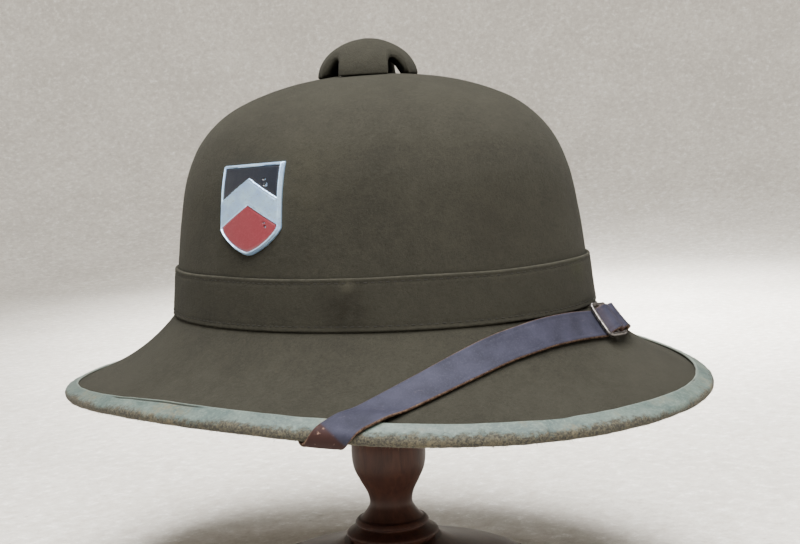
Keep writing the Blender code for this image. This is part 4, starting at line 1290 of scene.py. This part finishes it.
def strap_spot(angle, travel, raised):
    """A point of the strap's mid-wall, raised off the surface that it lies on."""
    angle, travel, raised = np.broadcast_arrays(angle, travel, raised)
    rest = STRAP_GAP + STRAP_WALL / 2 + raised
    bound = FIT_GAP + BINDING_WALL
    over = -np.minimum(travel, 0)
    upper = over_brim(angle, over, rest + bound * over_binding(over) + lean(angle, over))
    turn = math.pi * np.clip(travel, 0, WRAP_TRAVEL) / WRAP_TRAVEL
    round_edge = edge_centre(angle) + edge_direction(angle, turn) * (WRAP_RADIUS + raised)[..., None]
    inward = np.maximum(travel - WRAP_TRAVEL, 0)
    width = brim_width(angle)
    share = ease((inward - width + STRAP_CORNER) / (2 * STRAP_CORNER))
    depth = FELT_WALL + rest + bound * over_binding(inward)
    depth = depth + 2 * STRAP_GAP * (1 - np.abs(2 * share - 1))
    reach = reach_from_edge(angle, np.minimum(inward, width))
    climbed = np.maximum(inward - width, 0)
    on_wall = inward > width
    face = np.where(on_wall[..., None], crown_point(angle, climbed), brim_point(angle, reach))
    flat = brim_normal(angle, np.where(on_wall, 0, reach))
    normal = unit(blend(flat, crown_normal(angle, climbed), share[..., None]))
    lower = face - normal * depth[..., None]
    where = travel[..., None]
    return np.where(where <= 0, upper, np.where(where <= WRAP_TRAVEL, round_edge, lower))


def turn_radius(angle, travel):
    ahead = strap_spot(angle + TURN_STEP, travel, 0.0)
    behind = strap_spot(angle - TURN_STEP, travel, 0.0)
    return np.linalg.norm(ahead - behind, axis=-1) / (2 * TURN_STEP)


def wall_travel(degrees, height):
    return WRAP_TRAVEL + float(brim_width(np.array(math.radians(degrees)))) + height


def half_route(under, over):
    """Rows of degrees from the front and travel, from the crown's inside to the front."""
    rows = [(STRAP_END_ANGLE, wall_travel(STRAP_END_ANGLE, STRAP_END_HEIGHT))]
    rows.append((STUD_ANGLE, wall_travel(STUD_ANGLE, STUD_HEIGHT)))
    for degrees, reach in reversed(under):
        rows.append((degrees, WRAP_TRAVEL + edge_distance(math.radians(degrees), reach)))
    for degrees, reach in over:
        rows.append((degrees, -edge_distance(math.radians(degrees), reach)))
    return rows


def strap_line():
    """The loop's middle line, right side to left: lengths, angles and travels."""
    right_half = half_route(STRAP_UNDER_RIGHT, STRAP_OVER_RIGHT)
    left_half = half_route(STRAP_UNDER_LEFT, STRAP_OVER_LEFT)
    right = [(-math.radians(degrees), travel) for degrees, travel in right_half]
    left = [(math.radians(degrees), travel) for degrees, travel in reversed(left_half)]
    angle, travel = smooth_curve(right + left, 6).T
    swing = np.diff(angle) * turn_radius(angle[1:], travel[1:])
    steps = np.hypot(swing, np.diff(travel))
    return np.concatenate([[0], np.cumsum(steps)]), angle, travel


LINE_LENGTHS, LINE_ANGLES, LINE_TRAVELS = strap_line()
LOOP_LENGTH = LINE_LENGTHS[-1]
BUCKLE_PLACE = float(np.interp(math.radians(BUCKLE_ANGLE), LINE_ANGLES, LINE_LENGTHS))


def line_at(place):
    """Angles and travels of the loop's middle line."""
    return np.array([np.interp(place, LINE_LENGTHS, row) for row in (LINE_ANGLES, LINE_TRAVELS)])


def strap_point(place, aside, raised):
    """A point of the strap: its place along the loop, its distance aside and its height."""
    angle, travel = line_at(place)
    before = line_at(np.maximum(place - STRAP_AIM, 0))
    swing, climb = line_at(np.minimum(place + STRAP_AIM, LOOP_LENGTH)) - before
    radius = turn_radius(angle, travel)
    swing = swing * radius
    size = np.hypot(swing, climb)
    return strap_spot(angle - aside * climb / size / radius, travel + aside * swing / size, raised)


BAR_OFFSET = BUCKLE_LENGTH / 2 - BUCKLE_BAR / 2
FOLD_RADIUS = math.hypot(BUCKLE_WALL, BUCKLE_BAR) / 2 + FIT_GAP + STRAP_WALL / 2
OVER_BAR = 2 * FOLD_RADIUS
LAYER = STRAP_WALL + FIT_GAP
RISE_STEPS = 8


def strap_run(start, end, low, high, steps=RISE_STEPS):
    """Rows of place, height and share of the width, after the start, between two heights."""
    share = np.linspace(0, 1, steps + 1)[1:]
    return np.stack([blend(start, end, share), blend(low, high, ease(share)), 0 * share + 1], axis=1)


def long_strap_route():
    """Rows of place, height and share of the width, from the right stud to the tip."""
    inside_bar = BUCKLE_PLACE - BAR_OFFSET + BUCKLE_BAR / 2 + FIT_GAP
    before_middle = BUCKLE_PLACE - BUCKLE_BAR / 2 - 2 * FIT_GAP
    after_middle = BUCKLE_PLACE + BUCKLE_BAR / 2 + 2 * FIT_GAP
    tip = BUCKLE_PLACE + BAR_OFFSET - FOLD_RADIUS - STRAP_WALL / 2 - 2 * FIT_GAP
    share = np.linspace(0, 1, 13)[1:]
    place = blend(after_middle, tip, share)
    narrow = 1 - TIP_NARROWING * np.maximum(0, 1 - (tip - place) / STRAP_TIP) ** TIP_POINT
    return np.vstack(
        [
            (0, 0, 1),
            strap_run(0, inside_bar, 0, 0, int(inside_bar / STRAP_FINE)),
            strap_run(inside_bar, before_middle, 0, OVER_BAR),
            (after_middle, OVER_BAR, 1),
            np.stack([place, OVER_BAR - STRAP_WALL / 2 * share, narrow], axis=1),
        ]
    )


def short_strap_route():
    """Rows from the folded end under the buckle's left bar, round the bar, to the left stud."""
    bar = BUCKLE_PLACE + BAR_OFFSET
    end = bar + STRAP_RETURN
    over = bar + BUCKLE_BAR
    settled = over + STRAP_SETTLE
    past_end = end + BUCKLE_BAR
    landing = past_end + STRAP_SETTLE
    turn = np.linspace(0, math.pi, 15)
    fold = [bar - FOLD_RADIUS * np.sin(turn), FOLD_RADIUS * (1 - np.cos(turn)), 0 * turn + 1]
    return np.vstack(
        [
            (end, 0, 1),
            strap_run(end, bar, 0, 0, 11)[:-1],
            np.stack(fold, axis=1),
            strap_run(over, settled, OVER_BAR, LAYER),
            strap_run(settled, past_end, LAYER, LAYER, 6),
            strap_run(past_end, landing, LAYER, 0),
            strap_run(landing, LOOP_LENGTH, 0, 0, int((LOOP_LENGTH - landing) / STRAP_FINE)),
        ]
    )


def strap_section():
    """The strap's section, round its edges: shares aside, depths, and how raw the leather is."""
    inside = 1 - STRAP_WALL / STRAP_WIDTH
    half = STRAP_WALL / 2
    flat = np.linspace(-1, 1, STRAP_FLAT)
    turn = np.linspace(math.pi / 2, -math.pi / 2, 9)[1:-1]
    under = np.linspace(1, -1, 9)
    raw = ease((np.cos(turn) - 0.35) / 0.4)
    right = np.stack([inside + (1 - inside) * np.cos(turn), half * np.sin(turn), raw], axis=1)
    top = [flat * inside, half - GROOVE_DEPTH * bump(np.abs(flat), 0.80, 0.045), 0 * flat]
    bottom = [under * inside, 0 * under - half, 0 * under + FLESH_RAW]
    left = right[::-1] * np.array([-1, 1, 1])
    return np.concatenate([np.stack(top, axis=1), right, np.stack(bottom, axis=1), left])


def make_strap(end, route):
    """A leather strap swept along its route, with embossed lines and raw edges."""
    section = strap_section()
    path = route[:, :2]
    ahead = unit(np.gradient(path, axis=0))
    normal = np.stack([-ahead[:, 1], ahead[:, 0]], axis=1)
    normal *= np.sign(normal[0, 1]) if end == "long" else -np.sign(normal[0, 1])
    wander = 0.25 * MM * np.sin(route[:, 0] / (9 * MM)) * np.sin(route[:, 0] / (23 * MM))
    aside = STRAP_WIDTH / 2 * route[:, 2:] * section[:, 0] + wander[:, None]
    depth = section[:, 1] + 0 * aside
    place = path[:, :1] + normal[:, :1] * depth
    raised = path[:, 1:] + normal[:, 1:] * depth
    grid = strap_point(place, aside, raised)
    outward = unit(np.cross(np.gradient(grid, axis=0), np.gradient(grid, axis=1)))
    facing = outward[:, STRAP_FLAT // 2]
    grid = grid + outward * waves(grid, STRAP_WAVES)[..., None]
    off = (grid - grid.mean(axis=1, keepdims=True))[:, STRAP_FLAT // 2]
    slope = facing[:, 2] * np.sign((facing * off).sum(axis=1))
    turned = np.repeat(ease((TURNED_SLOPE - slope) / TURNED_FADE), len(section))
    fields = {"raw": np.tile(section[:, 2], len(grid)), "turned": turned}
    name = "strap_leather_" + end
    make_piece(name, rod_shell(grid), STRAP, "strap_" + end, fields)


# Buckle

BUCKLE_CORNER = 1.6 * MM
CORNER_STEPS = 8


def frame_ring():
    """The middle line of the buckle's frame, a rounded rectangle of place and aside."""
    half = np.array([BUCKLE_LENGTH - BUCKLE_BAR, BUCKLE_WIDTH - BUCKLE_BAR]) / 2
    rows = []
    for quarter, signs in enumerate(((1, 1), (-1, 1), (-1, -1), (1, -1))):
        turn = math.pi / 2 * (quarter + np.linspace(0, 1, CORNER_STEPS + 1))
        corner = BUCKLE_CORNER * np.stack([np.cos(turn), np.sin(turn)], axis=1)
        rows.append(np.array(signs) * (half - BUCKLE_CORNER) + corner)
    rows.append(rows[0][:1])
    return even_steps(np.vstack(rows), 0.6 * MM)[:-1]


def bar_section(count=14):
    """A bar's section with rounded corners: out and up, each between -1 and 1."""
    turn = full_turn(count)
    size = (np.abs(np.cos(turn)) ** 4 + np.abs(np.sin(turn)) ** 4) ** (-1 / 4)
    return np.stack([size * np.cos(turn), size * np.sin(turn)], axis=1)


def buckle_grid(path, ahead, section):
    """Points of a bar swept along a line of place and aside."""
    ahead = unit(ahead)
    out = np.stack([ahead[:, 1], -ahead[:, 0]], axis=1)
    flat = path[:, None] + out[:, None] * (section[None, :, :1] * BUCKLE_BAR / 2)
    raised = FOLD_RADIUS + section[None, :, 1] * BUCKLE_WALL / 2 + 0 * flat[..., 0]
    return strap_point(BUCKLE_PLACE + flat[..., 0], flat[..., 1], raised)


def make_buckle():
    section = bar_section()
    frame_line = frame_ring()
    turning = np.roll(frame_line, -1, axis=0) - np.roll(frame_line, 1, axis=0)
    ring = buckle_grid(frame_line, turning, section)
    half = BUCKLE_WIDTH / 2 - BUCKLE_BAR
    line = np.stack([np.zeros(30), np.linspace(-half, half, 30)], axis=1)
    bar = buckle_grid(line, np.gradient(line, axis=0), section)
    corners = bump(np.abs(section[:, 0] * section[:, 1]), 1, 0.5)
    worn = np.tile(corners, len(ring) + len(bar))
    shape = join_shells([ring_shell(ring), rod_shell(bar)])
    make_piece("buckle", shape, STEEL, "buckle_frame", {"worn": worn})


# Hat stand

TURNED_COLUMNS = 128
SPIGOT_RADIUS = 8 * MM
AXIS_RADIUS = 0.5 * MM
SHAFT_SPACING = 6 * MM
BASE_HOLLOW = 0.90


def turned_grid(profile, columns):
    """Rows of radius and height, turned round the upright axis."""
    return polar(full_turn(columns)[None, :], profile[:, :1], profile[:, 1:])


def make_turned(name, profile, node):
    shape = rod_shell(turned_grid(profile, TURNED_COLUMNS))
    make_piece(name, shape, WOOD, node, sharp=55, lift=0)


def make_column():
    """Rings, neck and bulb below, a plain shaft above."""
    foot = BASE_HEIGHT + FIT_GAP
    neck = foot + TURNING_HEIGHT
    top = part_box("stand_column")[1].z
    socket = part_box("stand_head")[0].z - FIT_GAP
    rows = [(BULB_RADIUS * out, foot + TURNING_HEIGHT * up) for up, out in COLUMN_PROFILE]
    turning = smooth_curve(rows, 10)[::-1]
    shaft = even_steps(np.array([(SHAFT_RADIUS, socket), (SHAFT_RADIUS, neck)]), SHAFT_SPACING)
    spigot = [(AXIS_RADIUS, top), (SPIGOT_RADIUS, top), (SPIGOT_RADIUS, socket)]
    profile = np.vstack([spigot, shaft, turning, (AXIS_RADIUS, foot)])
    make_turned("column_wood", profile, "stand_column")


def make_base():
    outline = smooth_curve([(BASE_RADIUS * out, BASE_HEIGHT * up) for out, up in BASE_PROFILE], 8)
    under = [(BASE_HOLLOW * BASE_RADIUS, 0), (AXIS_RADIUS, 0)]
    profile = np.vstack([(AXIS_RADIUS, BASE_HEIGHT), outline, under])
    profile[:, 1] = np.clip(profile[:, 1], 0, BASE_HEIGHT)
    make_turned("base_wood", profile, "stand_base")


def dress_hidden_nodes():
    """Better materials for the solids that stay as they are."""
    for name in ("vent_post", "strap_stud_right", "strap_stud_left"):
        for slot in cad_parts[name].material_slots:
            slot.material = STEEL
    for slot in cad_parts["stand_head"].material_slots:
        slot.material = WOOD


# Stage, lights and camera

STAGE_RADIUS = 2.4
STAGE_ROUND = 0.9
STAGE_WALL = 2.4
CAMERA_PLACE = np.array([-480.0, -416.0, 78.4]) * MM
CAMERA_RIGHT = np.array([0.6379, -0.7683, -0.0524])
CAMERA_UP = np.array([0.1115, 0.0248, 0.9935])
CAMERA_LENS = 60.66
SENSOR_WIDTH = 36
LIGHT_COLOR = (1.0, 0.985, 0.955)
WORLD_COLOR = (1.0, 0.985, 0.96, 1)
WORLD_STRENGTH = 0.26

# Columns: name, place, target, size, energy, degrees of spread
LIGHTS = (
    ("sky_light", (-0.36, -0.33, 1.15), (0, 0, 0.18), 1.1, 60, 180),
    ("top_light", (0.08, 0.08, 1.3), (0.08, 0.08, 0), 0.4, 12, 180),
    ("wall_light", (0.72, 0.46, 1.25), (0.84, 0.46, 0), 0.6, 18, 62),
)


def make_stage():
    """A round floor that curves up into a wall on every side."""
    turn = np.linspace(0, math.pi / 2, 25)
    curve = [STAGE_RADIUS - STAGE_ROUND * (1 - np.sin(turn)), STAGE_ROUND * (1 - np.cos(turn))]
    profile = np.vstack([(0.001, 0), np.stack(curve, axis=1), (STAGE_RADIUS, STAGE_WALL)])
    shape = shell(turned_grid(profile, 96)[::-1], wrap_columns=True, pole_end=True)
    make_object("studio_floor", shape, paper_look())


def make_lights():
    for name, place, target, size, energy, spread in LIGHTS:
        light = bpy.data.lights.new(name, "AREA")
        light.shape = "DISK"
        light.size = size
        light.spread = math.radians(spread)
        light.energy = energy
        light.color = LIGHT_COLOR
        lamp = bpy.data.objects.new(name, light)
        lamp.location = place
        aim = Vector(target) - Vector(place)
        lamp.rotation_euler = aim.to_track_quat("-Z", "Y").to_euler()
        bpy.context.scene.collection.objects.link(lamp)
    world = bpy.data.worlds.new("studio")
    world.use_nodes = True
    background = world.node_tree.nodes["Background"]
    background.inputs["Color"].default_value = WORLD_COLOR
    background.inputs["Strength"].default_value = WORLD_STRENGTH
    bpy.context.scene.world = world


def make_camera():
    data = bpy.data.cameras.new("camera")
    data.lens = CAMERA_LENS
    data.sensor_width = SENSOR_WIDTH
    data.clip_start = 0.01
    camera = bpy.data.objects.new("camera", data)
    right = unit(CAMERA_RIGHT)
    up = unit(CAMERA_UP - right * (CAMERA_UP @ right))
    back = np.cross(right, up)
    turn = Matrix(np.stack([right, up, back], axis=1).tolist())
    camera.matrix_world = Matrix.Translation(on_seat(CAMERA_PLACE)) @ turn.to_4x4()
    bpy.context.scene.collection.objects.link(camera)
    bpy.context.scene.camera = camera


make_camera()
make_stage()
make_lights()
make_felt()
make_band()
make_band_stitches()
make_binding()
make_fibres()
make_cap()
make_shield()
make_enamels()
make_strap("long", long_strap_route())
make_strap("short", short_strap_route())
make_buckle()
make_column()
make_base()
dress_hidden_nodes()
